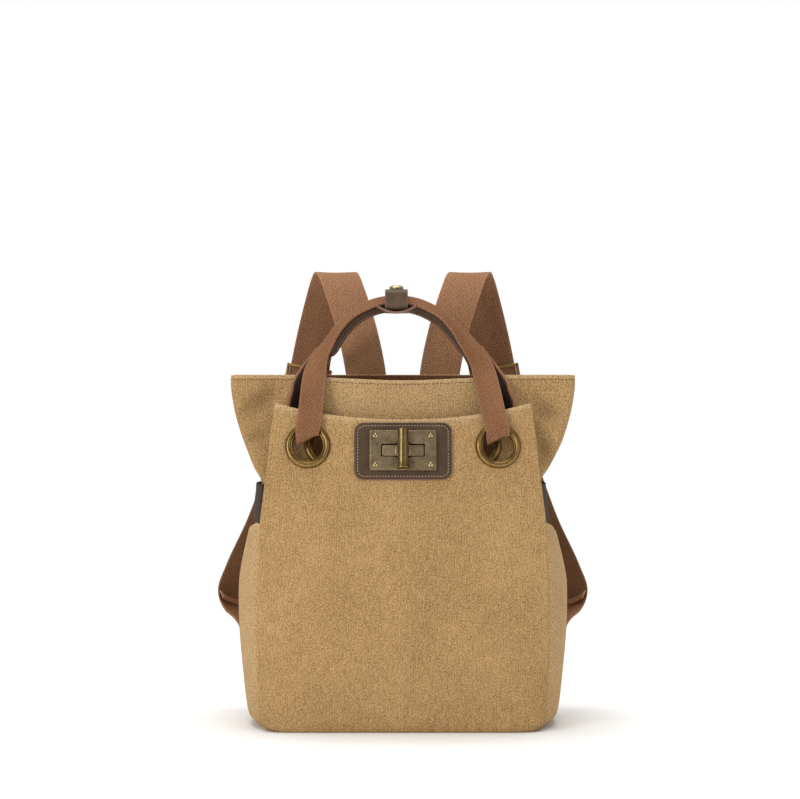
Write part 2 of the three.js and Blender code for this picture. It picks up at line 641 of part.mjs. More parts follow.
// Keeper: a leather loop round both arches, with a wide saddle under them and a narrow tongue above
function keeperPoint(u, v) {
  const turn = 2 * Math.PI * u;
  const squareness = 0.45;
  const round = (value) => Math.sign(value) * Math.abs(value) ** squareness;
  const middle = (KEEPER.top + KEEPER.bottom) / 2;
  const halfHeight = (KEEPER.top - KEEPER.bottom) / 2;
  const saddleShare = THREE.MathUtils.smoothstep(-Math.sin(turn), 0.2, 0.9);
  const width = between(KEEPER.tongue, KEEPER.saddle, saddleShare);
  return new THREE.Vector3(
    HANDLE_LEAN + (v - 0.5) * width,
    KEEPER.halfDepth * round(Math.cos(turn)),
    middle + halfHeight * round(Math.sin(turn)),
  );
}
addPiece('handle_keeper', 'leather', thickWall(keeperPoint, 32, 2, LEATHER, true));

const stud = turned([
  [0, GAP],
  [STUD.neck, GAP],
  [STUD.radius, STUD.rise * 0.35],
  [STUD.radius, STUD.rise * 0.6],
  [STUD.radius * 0.6, STUD.rise],
  [0, STUD.rise],
], 16);
addPiece('keeper_stud', 'brass', stud.translate(HANDLE_LEAN, 0, KEEPER.top));

// Shoulder straps and their sliders, made on the left and mirrored
const loopTilt = THREE.MathUtils.degToRad(STRAP_LOOP_TILT);
const loopAcross = new THREE.Vector3(0, -Math.cos(loopTilt), Math.sin(loopTilt));
const strapFrame = webbingFrame(
  STRAP_STATIONS.map((row) => ({ ...row, side: -1, width: STRAP_WIDTH })),
  loopAcross,
);

function slider() {
  const { centre, across, face } = strapFrame(SLIDER.station / (STRAP_STATIONS.length - 1));
  const frontDepth = 2 * GAP + SLIDER.depth / 2;
  const backDepth = -WEBBING - frontDepth;
  const railX = STRAP_WIDTH / 2 + GAP + SLIDER.rail / 2;
  const railDepth = frontDepth - backDepth + SLIDER.depth;
  const rails = [-1, 1].map((end) => new THREE.BoxGeometry(SLIDER.rail, SLIDER.length, railDepth)
    .translate(end * railX, 0, (frontDepth + backDepth) / 2));
  const barY = (SLIDER.length - SLIDER.bar) / 2;
  const bars = [[-barY, backDepth], [0, frontDepth], [barY, backDepth]].map(
    ([y, depth]) => new THREE.BoxGeometry(2 * railX + SLIDER.rail, SLIDER.bar, SLIDER.depth)
      .translate(0, y, depth),
  );
  const seat = new THREE.Matrix4().makeBasis(across, face.clone().cross(across), face);
  return joinAll([...rails, ...bars]).applyMatrix4(seat.setPosition(centre));
}

const strap = ribbon(strapFrame, STRAP_STEPS);
addPiece('strap_left', 'webbing', strap);
addPiece('strap_right', 'webbing', mirrored(strap, -1, 1));
const strapSlider = slider();
addPiece('strap_slider_left', 'brass', strapSlider);
addPiece('strap_slider_right', 'brass', mirrored(strapSlider, -1, 1));

export default backpack;
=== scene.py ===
# %% [markdown]
# # A canvas and leather backpack
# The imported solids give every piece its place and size. Each step of this lesson takes one piece of
# the bag, says what it is on the real object, and models it as a maker would cut, sew, turn or press
# it. Lengths are metres, +Z is up, the front faces -Y and the origin is the middle of the base.

# %% Load the frame
import json
import math

import bpy
import numpy as np
from mathutils import Matrix, Vector

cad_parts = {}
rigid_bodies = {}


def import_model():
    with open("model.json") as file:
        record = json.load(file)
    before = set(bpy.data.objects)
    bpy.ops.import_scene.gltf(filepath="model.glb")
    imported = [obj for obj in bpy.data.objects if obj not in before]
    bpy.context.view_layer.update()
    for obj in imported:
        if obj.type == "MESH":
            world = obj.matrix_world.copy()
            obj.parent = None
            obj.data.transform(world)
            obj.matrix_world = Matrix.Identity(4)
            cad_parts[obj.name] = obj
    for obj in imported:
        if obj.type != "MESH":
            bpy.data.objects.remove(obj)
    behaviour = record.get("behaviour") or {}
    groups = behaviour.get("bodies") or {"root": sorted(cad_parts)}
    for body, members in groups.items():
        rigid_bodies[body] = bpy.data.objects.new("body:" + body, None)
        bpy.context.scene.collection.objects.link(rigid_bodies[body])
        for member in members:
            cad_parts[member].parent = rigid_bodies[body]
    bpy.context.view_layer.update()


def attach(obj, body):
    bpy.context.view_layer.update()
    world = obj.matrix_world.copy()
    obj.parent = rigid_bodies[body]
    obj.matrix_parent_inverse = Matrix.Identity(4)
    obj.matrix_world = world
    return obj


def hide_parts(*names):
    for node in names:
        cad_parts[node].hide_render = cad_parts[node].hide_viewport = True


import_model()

MM = 0.001

# %% [markdown]
# ## Camera, floor and light
# The bag was photographed from straight ahead with a long lens, at about the height of its rim, so
# the camera looks level along +Y. One pixel is 0.9 mm in the plane of the front panel, which sets the
# lens for the chosen distance. Pale floor, even white surroundings, a wide soft sky of light from above
# that makes the floor white and leaves a shadow under the bag, and a large panel of light on the left
# with a weak one facing it.


# %% Adding an object
def added(name, operator, **settings):
    """Runs an operator that adds an object, and returns that object under a name."""
    bpy.ops.object.select_all(action="DESELECT")
    operator(**settings)
    bpy.context.object.name = name
    return bpy.context.object


# %% Camera
IMAGE_WIDTH_PX = 800
FRONT_SCALE = 0.9 * MM
FRONT_PLANE_Y = -70 * MM
CAMERA_DISTANCE = 2.0
SENSOR_WIDTH = 36.0
VIEW_CENTRE = (-2.7 * MM, 299 * MM)

camera = added(
    "camera", bpy.ops.object.camera_add,
    location=(VIEW_CENTRE[0], FRONT_PLANE_Y - CAMERA_DISTANCE, VIEW_CENTRE[1]),
    rotation=(math.radians(90), 0, 0),
)
camera.data.sensor_width = SENSOR_WIDTH
camera.data.lens = SENSOR_WIDTH * CAMERA_DISTANCE / (IMAGE_WIDTH_PX * FRONT_SCALE)
bpy.context.scene.camera = camera
bpy.context.scene.view_settings.view_transform = "Standard"
print("camera lens", round(camera.data.lens, 1), "mm")


# %% Colours and nodes
def linear(hex_colour):
    """An sRGB hex colour as linear RGBA."""
    shares = [int(hex_colour[at:at + 2], 16) / 255 for at in (1, 3, 5)]
    return [s / 12.92 if s <= 0.04045 else ((s + 0.055) / 1.055) ** 2.4 for s in shares] + [1.0]


def fill(tree, node, inputs):
    """Fills a node's inputs, by a link where the value is a socket."""
    for name, value in inputs.items():
        if isinstance(value, bpy.types.NodeSocket):
            tree.links.new(value, node.inputs[name])
        else:
            node.inputs[name].default_value = value


def add_node(tree, kind, inputs=None, output=0, **settings):
    """Adds a node with its settings and links, and returns one of its outputs."""
    node = tree.nodes.new("ShaderNode" + kind)
    for name, value in settings.items():
        setattr(node, name, value)
    fill(tree, node, inputs or {})
    return node.outputs[output]


def start_material(name, **constants):
    """A new material with a principled shader whose constant inputs are set on its own sockets."""
    material = bpy.data.materials.new(name)
    material.use_nodes = True
    tree = material.node_tree
    shader = next(node for node in tree.nodes if node.type == "BSDF_PRINCIPLED")
    fill(tree, shader, {key.replace("_", " "): value for key, value in constants.items()})
    return material, tree, shader


# %% Floor, surroundings and soft lights
SURROUNDINGS = 0.42
LIGHTS = (
    # name, kind, place, size in metres or spread in degrees, watts or watts per square metre
    ("soft_sky", "SUN", (-0.1, 0.4, 2.4), 46, 2.3),
    ("left_panel", "AREA", (-1.25, -1.6, 0.9), 0.9, 14),
    ("right_panel", "AREA", (1.4, -1.4, 0.7), 0.9, 3.5),
)
LIGHT_TARGET = Vector((0, 0, 0.2))

floor_finish, floor_tree, floor_shader = start_material("pale_studio_floor", Roughness=0.9)
floor_grain = add_node(floor_tree, "TexNoise", {"Scale": 3.0, "Detail": 2.0})
floor_mix = {0: floor_grain, 6: linear("#f7f7f6"), 7: linear("#fbfbfa")}
floor_colour = add_node(floor_tree, "Mix", floor_mix, output=2, data_type="RGBA")
fill(floor_tree, floor_shader, {"Base Color": floor_colour})

floor = added("studio_floor", bpy.ops.mesh.primitive_plane_add, size=8)
floor.data.materials.append(floor_finish)

world = bpy.context.scene.world or bpy.data.worlds.new("studio")
bpy.context.scene.world = world
world.use_nodes = True
sky = next(node for node in world.node_tree.nodes if node.type == "BACKGROUND")
seen_directly = add_node(world.node_tree, "LightPath")
sky_strength = add_node(
    world.node_tree, "MapRange", {"Value": seen_directly, "To Min": SURROUNDINGS, "To Max": 1.0},
)
fill(world.node_tree, sky, {"Color": (1, 1, 1, 1), "Strength": sky_strength})

for name, kind, place, size, power in LIGHTS:
    lamp = added(name, bpy.ops.object.light_add, type=kind, location=place)
    lamp.data.energy = power
    if kind == "SUN":
        lamp.data.angle = math.radians(size)
    else:
        lamp.data.size = size
    lamp.rotation_euler = (LIGHT_TARGET - Vector(place)).to_track_quat("-Z", "Y").to_euler()
print("lights:", len(LIGHTS))

# %% [markdown]
# ## Finishes
# Cloth patterns are drawn on each piece's own map, which is laid out in metres along and across the
# threads, so the weave has its real size and follows every fold. Leather and metal have no direction,
# so they are drawn in space. A pattern that is finer than the picture can show is drawn coarser, and
# the comment beside it says so.

# %% Cloth finishes
WAVE_TURN = math.pi / 10  # a wave texture makes one band where its scale is this over the spacing


def blend_of(tree, *parts):
    """Sum of (texture output, weight) pairs, each texture counted from its middle grey, about 0.5."""
    total = 0.5
    for output, weight in parts:
        share = add_node(tree, "Math", {0: output, 1: 0.5}, operation="SUBTRACT")
        total = add_node(tree, "Math", {0: share, 1: weight, 2: total}, operation="MULTIPLY_ADD")
    return total


def darkened_by_painted_shade(tree, colour, darkest):
    """Painted shade: darkens a cloth where its wear and shade value is below zero, to a share of its colour
    at -1.
    """
    wear_and_shade = add_node(tree, "Attribute", output=2, attribute_name="wear_and_shade")
    share = add_node(tree, "MapRange", {"Value": wear_and_shade, "From Min": -1.0, "From Max": 0.0,
                                        "To Min": darkest})
    return add_node(tree, "VectorMath", {0: colour, "Scale": share}, operation="SCALE")


def woven_canvas(name, dark, light, worn):
    """Heavy cotton canvas, plain woven, garment washed: flecked yarns, soft cloudy fading, no gloss."""
    thread = 1.26 * MM  # about 0.7 mm on the real cloth, drawn coarser so that it shows
    material, tree, shader = start_material(
        name, Roughness=0.92, IOR=1.5, Specular_IOR_Level=0.2, Sheen_Weight=0.1, Sheen_Roughness=0.6,
        Sheen_Tint=linear(light),
    )
    metres = add_node(tree, "UVMap", uv_map="UVMap")
    upright, left_pick, right_pick = (
        add_node(tree, "TexWave", {
            "Vector": add_node(tree, "Mapping", {"Vector": metres, "Rotation": (0, 0, math.radians(turn))}),
            "Scale": WAVE_TURN / spacing, "Distortion": 3.0, "Detail": 1.0, "Detail Scale": 90.0,
        }, output=1)
        for turn, spacing in ((0, 1.75 * thread), (45, 1.6 * thread), (-45, 1.6 * thread))
    )
    fleck, warp, mottle, fading = (
        add_node(tree, "TexNoise", {
            "Vector": add_node(tree, "Mapping", {"Vector": metres, "Scale": (1 / across, 1 / along, 1)}),
            "Scale": 1.0, "Detail": detail, "Roughness": 0.65,
        }, noise_dimensions="2D")
        for across, along, detail in (
            (thread, 1.3 * thread, 0.0),
            (thread, 9 * MM, 0.0),
            (6 * MM, 10 * MM, 2.0),
            (70 * MM, 90 * MM, 4.0),
        )
    )
    weave = blend_of(tree, (upright, 0.3), (left_pick, 0.6), (right_pick, 0.6))
    shade = blend_of(tree, (weave, 0.48), (fleck, 1.25), (warp, 0.4), (mottle, 0.45), (fading, 0.6))
    cloth_mix = {0: shade, 6: linear(dark), 7: linear(light)}
    cloth = add_node(tree, "Mix", cloth_mix, output=2, data_type="RGBA")
    wear_and_shade = add_node(tree, "Attribute", output=2, attribute_name="wear_and_shade")
    rubbed = add_node(tree, "Math", {0: wear_and_shade, 1: 0.0}, operation="MAXIMUM")
    faded = add_node(tree, "Math", {0: rubbed, 1: fleck}, operation="MULTIPLY")
    pale = add_node(tree, "Mix", {0: faded, 6: cloth, 7: linear(worn)}, output=2, data_type="RGBA")
    # Where the wear and shade attribute is below zero, painted shade darkens the cloth, to half at most.
    colour = darkened_by_painted_shade(tree, pale, 0.5)
    relief = blend_of(tree, (weave, 0.8), (fleck, 0.8))
    bump = add_node(tree, "Bump", {"Height": relief, "Strength": 0.3, "Distance": 0.4 * MM})
    fill(tree, shader, {"Base Color": colour, "Normal": bump})
    return material


def twill_webbing(name, rib, slant, dark, light, selvage, half_width):
    """Cotton webbing woven as a twill: slanting ribs with dark valleys and a plain selvage each side.

    The slant is in degrees from the length, and changes sides where the map starts."""
    material, tree, shader = start_material(
        name, Roughness=0.9, IOR=1.5, Specular_IOR_Level=0.12, Sheen_Weight=0.06, Sheen_Roughness=0.5,
        Sheen_Tint=linear(light),
    )
    metres = add_node(tree, "UVMap", uv_map="UVMap")
    sideways, lengthwise = (
        add_node(tree, "SeparateXYZ", {"Vector": metres}, output=axis) for axis in ("X", "Y")
    )
    from_start = add_node(tree, "Math", {0: lengthwise}, operation="ABSOLUTE")
    two_halves = add_node(tree, "CombineXYZ", {"X": sideways, "Y": from_start})
    turned_map = add_node(tree, "Mapping", {"Vector": two_halves, "Rotation": (0, 0, math.radians(slant))})
    ribs = add_node(tree, "TexWave", {"Vector": turned_map, "Scale": WAVE_TURN / rib, "Distortion": 0.7,
                                      "Detail": 1.0, "Detail Scale": 180.0}, output=1)
    yarn, fading = (
        add_node(tree, "TexNoise", {
            "Vector": add_node(tree, "Mapping", {"Vector": metres, "Scale": (1 / across, 1 / along, 1)}),
            "Scale": 1.0, "Detail": 2.0, "Roughness": 0.65,
        }, noise_dimensions="2D")
        for across, along in ((0.8 * rib, 0.8 * rib), (30 * MM, 60 * MM))
    )
    shade = blend_of(tree, (ribs, 0.4), (yarn, 0.8), (fading, 0.3))
    cloth_mix = {0: shade, 6: linear(dark), 7: linear(light)}
    cloth = add_node(tree, "Mix", cloth_mix, output=2, data_type="RGBA")
    from_middle = add_node(tree, "Math", {0: sideways}, operation="ABSOLUTE")
    rim = add_node(tree, "MapRange", {"Value": from_middle, "From Min": half_width - 1.6 * MM,
                                      "From Max": half_width - 0.6 * MM, "To Max": 0.6})
    edged = add_node(tree, "Mix", {0: rim, 6: cloth, 7: linear(selvage)}, output=2, data_type="RGBA")
    # Where the wear and shade attribute is below zero, painted shade darkens the webbing nearly to black.
    colour = darkened_by_painted_shade(tree, edged, 0.05)
    height = blend_of(tree, (ribs, 0.6), (yarn, 0.5))
    bump = add_node(tree, "Bump", {"Height": height, "Strength": 0.7, "Distance": 0.6 * MM})
    fill(tree, shader, {"Base Color": colour, "Normal": bump})
    return material


canvas = woven_canvas("washed_cotton_canvas", "#906e43", "#c8a471", "#d8bb91")
facing_cloth = woven_canvas("brown_cotton_facing", "#5c3c28", "#83593d", "#9b7053")
handle_webbing = twill_webbing(
    "twill_webbing_22", 2.05 * MM, -24, "#462816", "#af7d59", "#9c7055", 11 * MM,
)
strap_webbing = twill_webbing(
    "twill_webbing_38", 2.05 * MM, -48, "#5d3c26", "#cd9a73", "#bb8b6d", 19 * MM,
)
print("cloth finishes:", canvas.name, facing_cloth.name, handle_webbing.name, strap_webbing.name)


# %% Leather, brass and thread
def smooth_leather(name, dark, light, roughness):
    """Chrome-tanned cowhide with a thin finish: fine pebble grain, a low satin gloss, cloudy colour."""
    pebble = 1.1 * MM
    material, tree, shader = start_material(name, IOR=1.5, Specular_IOR_Level=0.2)
    place = add_node(tree, "TexCoord", output=3)
    grain = add_node(tree, "TexVoronoi", {"Vector": place, "Scale": 1 / pebble}, feature="SMOOTH_F1")
    cloud = add_node(tree, "TexNoise", {"Vector": place, "Scale": 1 / (14 * MM), "Detail": 5.0})
    hide_mix = {0: blend_of(tree, (cloud, 1.1), (grain, 0.2)), 6: linear(dark), 7: linear(light)}
    colour = add_node(tree, "Mix", hide_mix, output=2, data_type="RGBA")
    gloss = add_node(tree, "MapRange", {"Value": cloud, "To Min": roughness - 0.1,
                                        "To Max": roughness + 0.1})
    bump = add_node(tree, "Bump", {"Height": grain, "Strength": 0.25, "Distance": 0.25 * MM})
    fill(tree, shader, {"Base Color": colour, "Roughness": gloss, "Normal": bump})
    return material


def antique_brass(name, patina, bare, roughness):
    """Cast and plated brass, darkened and rubbed back: brown in the hollows, bright on worn edges."""
    material, tree, shader = start_material(name, Metallic=1.0)
    place = add_node(tree, "TexCoord", output=3)
    cloud = add_node(tree, "TexNoise", {"Vector": place, "Scale": 1 / (7 * MM), "Detail": 6.0,
                                        "Roughness": 0.65})
    pits = add_node(tree, "TexNoise", {"Vector": place, "Scale": 1 / (0.9 * MM), "Detail": 3.0})
    corner = add_node(tree, "NewGeometry", output=7)
    rubbed = add_node(tree, "MapRange", {"Value": corner, "From Min": 0.44, "From Max": 0.6})
    shade = blend_of(tree, (cloud, 0.9), (pits, 0.7), (rubbed, 0.5))
    brass_mix = {0: shade, 6: linear(patina), 7: linear(bare)}
    colour = add_node(tree, "Mix", brass_mix, output=2, data_type="RGBA")
    gloss = add_node(tree, "MapRange", {"Value": pits, "To Min": roughness - 0.1,
                                        "To Max": roughness + 0.12})
    bump = add_node(tree, "Bump", {"Height": pits, "Strength": 0.18, "Distance": 0.2 * MM})
    fill(tree, shader, {"Base Color": colour, "Roughness": gloss, "Normal": bump})
    return material


def sewing_thread(name, dark, light):
    """Twisted polyester thread: matt, with a fine change of shade from ply to ply."""
    ply = 0.5 * MM
    material, tree, shader = start_material(name, Roughness=0.75, IOR=1.5, Specular_IOR_Level=0.3)
    place = add_node(tree, "TexCoord", output=3)
    twist = add_node(tree, "TexNoise", {"Vector": place, "Scale": 1 / ply, "Detail": 1.0})
    thread_mix = {0: twist, 6: linear(dark), 7: linear(light)}
    colour = add_node(tree, "Mix", thread_mix, output=2, data_type="RGBA")
    fill(tree, shader, {"Base Color": colour})
    return material


leather = smooth_leather("smooth_brown_leather", "#3b2c1e", "#604b39", 0.55)
tab_leather = smooth_leather("dark_brown_leather", "#2b1f18", "#46362c", 0.7)
keeper_leather = smooth_leather("light_brown_leather", "#443423", "#6f5844", 0.55)
leather_edge = smooth_leather("cut_leather_edge", "#6d4c40", "#9c7766", 0.75)
plate_brass = antique_brass("antique_brass_plate", "#443625", "#bda582", 0.4)
rubbed_brass = antique_brass("antique_brass_rubbed", "#8d7750", "#e2cb9c", 0.28)
hollow_brass = antique_brass("antique_brass_hollow", "#1c150d", "#33271a", 0.6)
ring_brass = antique_brass("antique_brass_ring", "#4c3619", "#ac8c56", 0.3)
toggle_brass = antique_brass("antique_brass_toggle", "#49361b", "#a58d5f", 0.3)
dark_thread = sewing_thread("brown_sewing_thread", "#4a3320", "#6e4f34")
light_thread = sewing_thread("pale_sewing_thread", "#9c8572", "#c9b5a0")
print("hard finishes:", leather.name, plate_brass.name, dark_thread.name, "and their variants")

# %% [markdown]
# ## Tools of the bench
# Every piece of cloth starts as a flat grid, like a cut panel on the table, and is carried onto the
# shape that it has on the bag. Its map is then measured along the cloth, and a Solidify modifier gives
# the wall its thickness. Webbing and leather bands are made the same way along a line of stations.

# %% Tables and smooth reading
PLAIN_COLUMNS = ("turn", "lean", "skew", "slant")


def table(names, rows):
    """Named columns from rows of millimetres, turned to metres apart from angles."""
    columns = zip(names.split(), np.array(rows, float).T)
    return {name: data if name in PLAIN_COLUMNS else data * MM for name, data in columns}


def read(rows, key, column, value):
    """Smooth reading of one column of a table where its key column has the given values."""
    keys, data = rows[key], rows[column]
    value = np.clip(value, keys[0], keys[-1])
    last = len(keys) - 1
    row = np.clip(np.searchsorted(keys, value, side="right") - 1, 0, last - 1)
    before = np.maximum(row - 1, 0)
    after = np.minimum(row + 2, last)
    span = keys[row + 1] - keys[row]
    t = (value - keys[row]) / span
    start = (data[row + 1] - data[before]) / (keys[row + 1] - keys[before]) * span
    end = (data[after] - data[row]) / (keys[after] - keys[row]) * span
    rise = data[row + 1] - data[row]
    bend = start + end - 2 * rise
    return data[row] + t * (start + t * (rise - start - bend + t * bend))


def smooth_step(value, low, high):
    """0 below low, 1 above high and a smooth rise between them."""
    t = np.clip((value - low) / (high - low), 0, 1)
    return t * t * (3 - 2 * t)


# %% Choosing, editing and modifying a piece
def choose(*pieces):
    """Selects these pieces only, the first of them as the active one."""
    bpy.ops.object.select_all(action="DESELECT")
    for piece in pieces:
        piece.select_set(True)
    bpy.context.view_layer.objects.active = pieces[0]


def edit(piece, *operations):
    """Runs mesh operators, given as (operator, settings), on all of a piece."""
    choose(piece)
    bpy.ops.object.mode_set(mode="EDIT")
    for operator, settings in operations:
        bpy.ops.mesh.select_all(action="SELECT")
        operator(**settings)
    bpy.ops.object.mode_set(mode="OBJECT")


def modify(piece, kind, **settings):
    """Adds a modifier to a piece and applies it."""
    choose(piece)
    modifier = piece.modifiers.new(kind.lower(), kind)
    for name, value in settings.items():
        setattr(modifier, name, value)
    bpy.ops.object.modifier_apply(modifier=modifier.name)


# %% Cutting cloth and giving it thickness
def cut_cloth(name, surface, columns, rows, wear_and_shade=None, start_row=None):
    """A grid carried onto surface(u, v), with its map in metres along the cloth and its wear and shade.

    Wear and shade run from -1, where painted shade darkens the cloth, to 1, where it is rubbed pale. With a
    start row, as for webbing and the bag's shell, the map is measured up the middle line from that row."""
    piece = added(name, bpy.ops.mesh.primitive_grid_add, size=2, x_subdivisions=columns,
                  y_subdivisions=rows)
    flat = np.array([vertex.co[:2] for vertex in piece.data.vertices])
    order = np.lexsort((flat[:, 0].round(6), flat[:, 1].round(6)))
    u, v = (flat[order].T + 1) / 2
    places = surface(u, v)
    net = places.reshape(rows + 1, columns + 1, 3)
    along_row = np.linalg.norm(np.diff(net, axis=1, prepend=net[:, :1]), axis=2).cumsum(axis=1)
    along_row -= along_row[:, columns // 2:columns // 2 + 1]
    along_column = np.linalg.norm(np.diff(net, axis=0, prepend=net[:1]), axis=2).cumsum(axis=0)
    if start_row is not None:
        middle_line = along_column[:, columns // 2:columns // 2 + 1]
        along_column = middle_line - middle_line[start_row] + np.zeros_like(along_row)
    lengths = np.stack([along_row.ravel(), along_column.ravel()], axis=1)
    back = np.argsort(order)
    piece.data.vertices.foreach_set("co", places[back].astype(np.float32).ravel())
    corners = np.zeros(len(piece.data.loops), np.int32)
    piece.data.loops.foreach_get("vertex_index", corners)
    piece.data.uv_layers.active.data.foreach_set("uv", lengths[back][corners].astype(np.float32).ravel())
    worn = np.zeros(len(flat)) if wear_and_shade is None else np.clip(wear_and_shade(u, v), -1, 1)[back]
    piece.data.attributes.new("wear_and_shade", "FLOAT", "POINT").data.foreach_set("value", worn.astype(np.float32))
    piece.data.update()
    return piece


def close_seam(piece, gap=0.02 * MM):
    """Joins the meeting edges of a cloth that goes all the way round."""
    edit(piece, (bpy.ops.mesh.remove_doubles, {"threshold": gap}))


def thicken(piece, wall, round_edge, *finishes):
    """Gives a cloth its thickness inwards and rounds its edges, which may have a finish of their own."""
    for finish in finishes:
        piece.data.materials.append(finish)
    modify(piece, "SOLIDIFY", thickness=wall, offset=-1, use_quality_normals=True,
           material_offset_rim=len(finishes) - 1)
    modify(piece, "BEVEL", width=round_edge, segments=2, limit_method="ANGLE",
           angle_limit=math.radians(55), material=len(finishes) - 1)


# %% Keeping a finished piece
def keep(piece, slot, *nodes, body="bag", crease=40):
    """Smooths a piece, lets it ride on its body and hides the solids that it stands for."""
    choose(piece)
    bpy.ops.object.shade_smooth_by_angle(angle=math.radians(crease))
    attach(piece, body)
    if nodes:
        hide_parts(*nodes)
    print(piece.name, "has", len(piece.data.polygons), "faces")


# %% [markdown]
# ## Bag body
# The body is one sewn bag of heavy canvas: a flat bottom, a front and a back wall, and side gussets that
# a leather tab draws in so that the rim flares out in two wings. Five flat plates would look like a
# box, so it is lofted here as one shell: a closed loop with soft corners at every height, from the
# middle of the bottom up to the rim. The folds of the wings and the sag of the back are worked out by
# formula, because the cloth is stiff enough to hold them by itself.

# %% Sizes of the body
CANVAS_WALL = 1.8 * MM
LEATHER_WALL = 2.2 * MM
WEBBING_WALL = 1.6 * MM
CANVAS_EDGE = 0.6 * MM
WEBBING_EDGE = 0.4 * MM
RIM_HEIGHT = 319.5 * MM
BACK_RIM_RISE = 3 * MM
WING_RIM_RISE = 2 * MM
RIM_DIP = 2.8 * MM
RIM_DIP_REACH = 0.36
WING_TURN = 8 * MM
WING_START = 225 * MM
RIGHT_DRAW = 3.5 * MM
BACK_RIPPLE = 2.2 * MM
BODY = table("height corner side front back pocket", [
    (2.3, 122, 126, -57.5, 58, 7),
    (7, 125.5, 129, -60, 60, 10),
    (16, 127.5, 131, -61.5, 61.5, 11),
    (50, 130, 133.5, -63.5, 63, 12.5),
    (83, 131, 135, -64.5, 64, 14),
    (111, 131, 136, -65, 65, 14),
    (136, 130.5, 136, -65, 65, 13.5),
    (162, 130, 135, -64.5, 64.5, 11),
    (190, 128.5, 133.5, -62.5, 62.5, 6),
    (207, 127.5, 132.5, -59.5, 60.8, 0),
    (224, 127.5, 131.5, -55.5, 58, 0),
    (236, 135, 137.5, -52.5, 56, 0),
    (251, 141.5, 143.5, -48.75, 53, 0),
    (267, 148, 149.5, -44.75, 50, 0),
    (288, 154.5, 156, -39.5, 46, 0),
    (310, 158.5, 159.5, -35.5, 42, 0),
    (317, 158.5, 159.5, -35, 41, 0),
])
WING_FOLDS = table("x z lean length width depth", [
    (-130, 298, 52, 25, 8, 6.5),
    (-135, 265, 70, 16, 6, 4),
    (130, 290, -58, 18, 8, 6.5),
    (130, 252, -30, 20, 7, 5.5),
])
print("body:", len(BODY["height"]), "heights and", len(WING_FOLDS["x"]), "folds")


def body_at(column, z):
    """One column of the body's table at a height."""
    return read(BODY, "height", column, z)


def fold_depth(x, z):
    """How far the soft folds of the wings press the front wall in."""
    depth = np.zeros(np.broadcast(x, z).shape)
    for row in range(len(WING_FOLDS["x"])):
        fold = {name: data[row] for name, data in WING_FOLDS.items()}
        lean = math.radians(fold["lean"])
        along = (x - fold["x"]) * math.sin(lean) + (z - fold["z"]) * math.cos(lean)
        across = (x - fold["x"]) * math.cos(lean) - (z - fold["z"]) * math.sin(lean)
        spread = (across / fold["width"]) ** 2 + (along / fold["length"]) ** 2
        depth = depth + fold["depth"] * np.exp(-spread)
    return depth


def wing_turn(x, z):
    """How far the wings turn back towards the gussets above the tabs."""
    share = smooth_step(z, WING_START, RIM_HEIGHT)
    return WING_TURN * share * np.minimum(np.abs(x / body_at("corner", z)), 1) ** 4


def drawn_in(sign, z):
    """How far the tab draws the right side in; the left side is as wide as the table says."""
    near_tab = smooth_step(z, 172 * MM, 200 * MM) * (1 - smooth_step(z, 224 * MM, 262 * MM))
    return RIGHT_DRAW * near_tab * (sign > 0)


def front_y(x, z):
    """Depth of the front wall's outer face."""
    return body_at("front", z) + wing_turn(x, z) + fold_depth(x, z)


def back_y(x, z):
    """Depth of the back wall's outer face."""
    return body_at("back", z) - wing_turn(x, z)


# %% Loop of the shell and its rows
# One turn round the bag, from the middle of the back by the left side. Each knot has its share of the
# half width, its share of the half depth and the direction, in degrees, that the wall faces there.
LOOP_ACROSS = (0, -1, -1, -1, -1, 1, 1, 1, 1, 0)
LOOP_DEPTHWISE = (1, 1, 1, -1, -1, -1, -1, 1, 1, 1)
LOOP_FACING = (90, 90, 180, 180, 270, 270, 360, 360, 450, 450)
SHELL_COLUMNS = (16, 5, 18, 5, 64, 5, 18, 5, 16)
SHELL_KNOTS = np.concatenate([[0], np.cumsum(SHELL_COLUMNS)]) / sum(SHELL_COLUMNS)
BOTTOM_SHARES = (0, 0.3, 0.6, 0.85, 0.955, 0.985)
BOTTOM_HEIGHTS = np.array((0, 0, 0, 0, 0, 0.7)) * MM
WALL_HEIGHTS = np.linspace(2.3 * MM, RIM_HEIGHT, 76)
ROW_SHARES = np.concatenate([BOTTOM_SHARES, np.ones(len(WALL_HEIGHTS))])
ROW_HEIGHTS = np.concatenate([BOTTOM_HEIGHTS, WALL_HEIGHTS])
SHELL_ROWS = len(ROW_HEIGHTS) - 1
CORNER_HEIGHTS = np.array((0, 40 * MM, 220 * MM, RIM_HEIGHT))
CORNER_RADII = np.array((14, 10, 9, 5)) * MM
print("shell grid:", sum(SHELL_COLUMNS), "columns by", SHELL_ROWS, "rows")


def back_sag(x, z):
    """Slow ripples of the back wall, still at its edges and where the straps are sewn on."""
    still = np.sin(np.pi * np.clip((z - 70 * MM) / (170 * MM), 0, 1)) * np.cos(x / (84 * MM)) ** 2
    return BACK_RIPPLE * still * np.sin(2 * np.pi * (x / (150 * MM) + z / (110 * MM)))


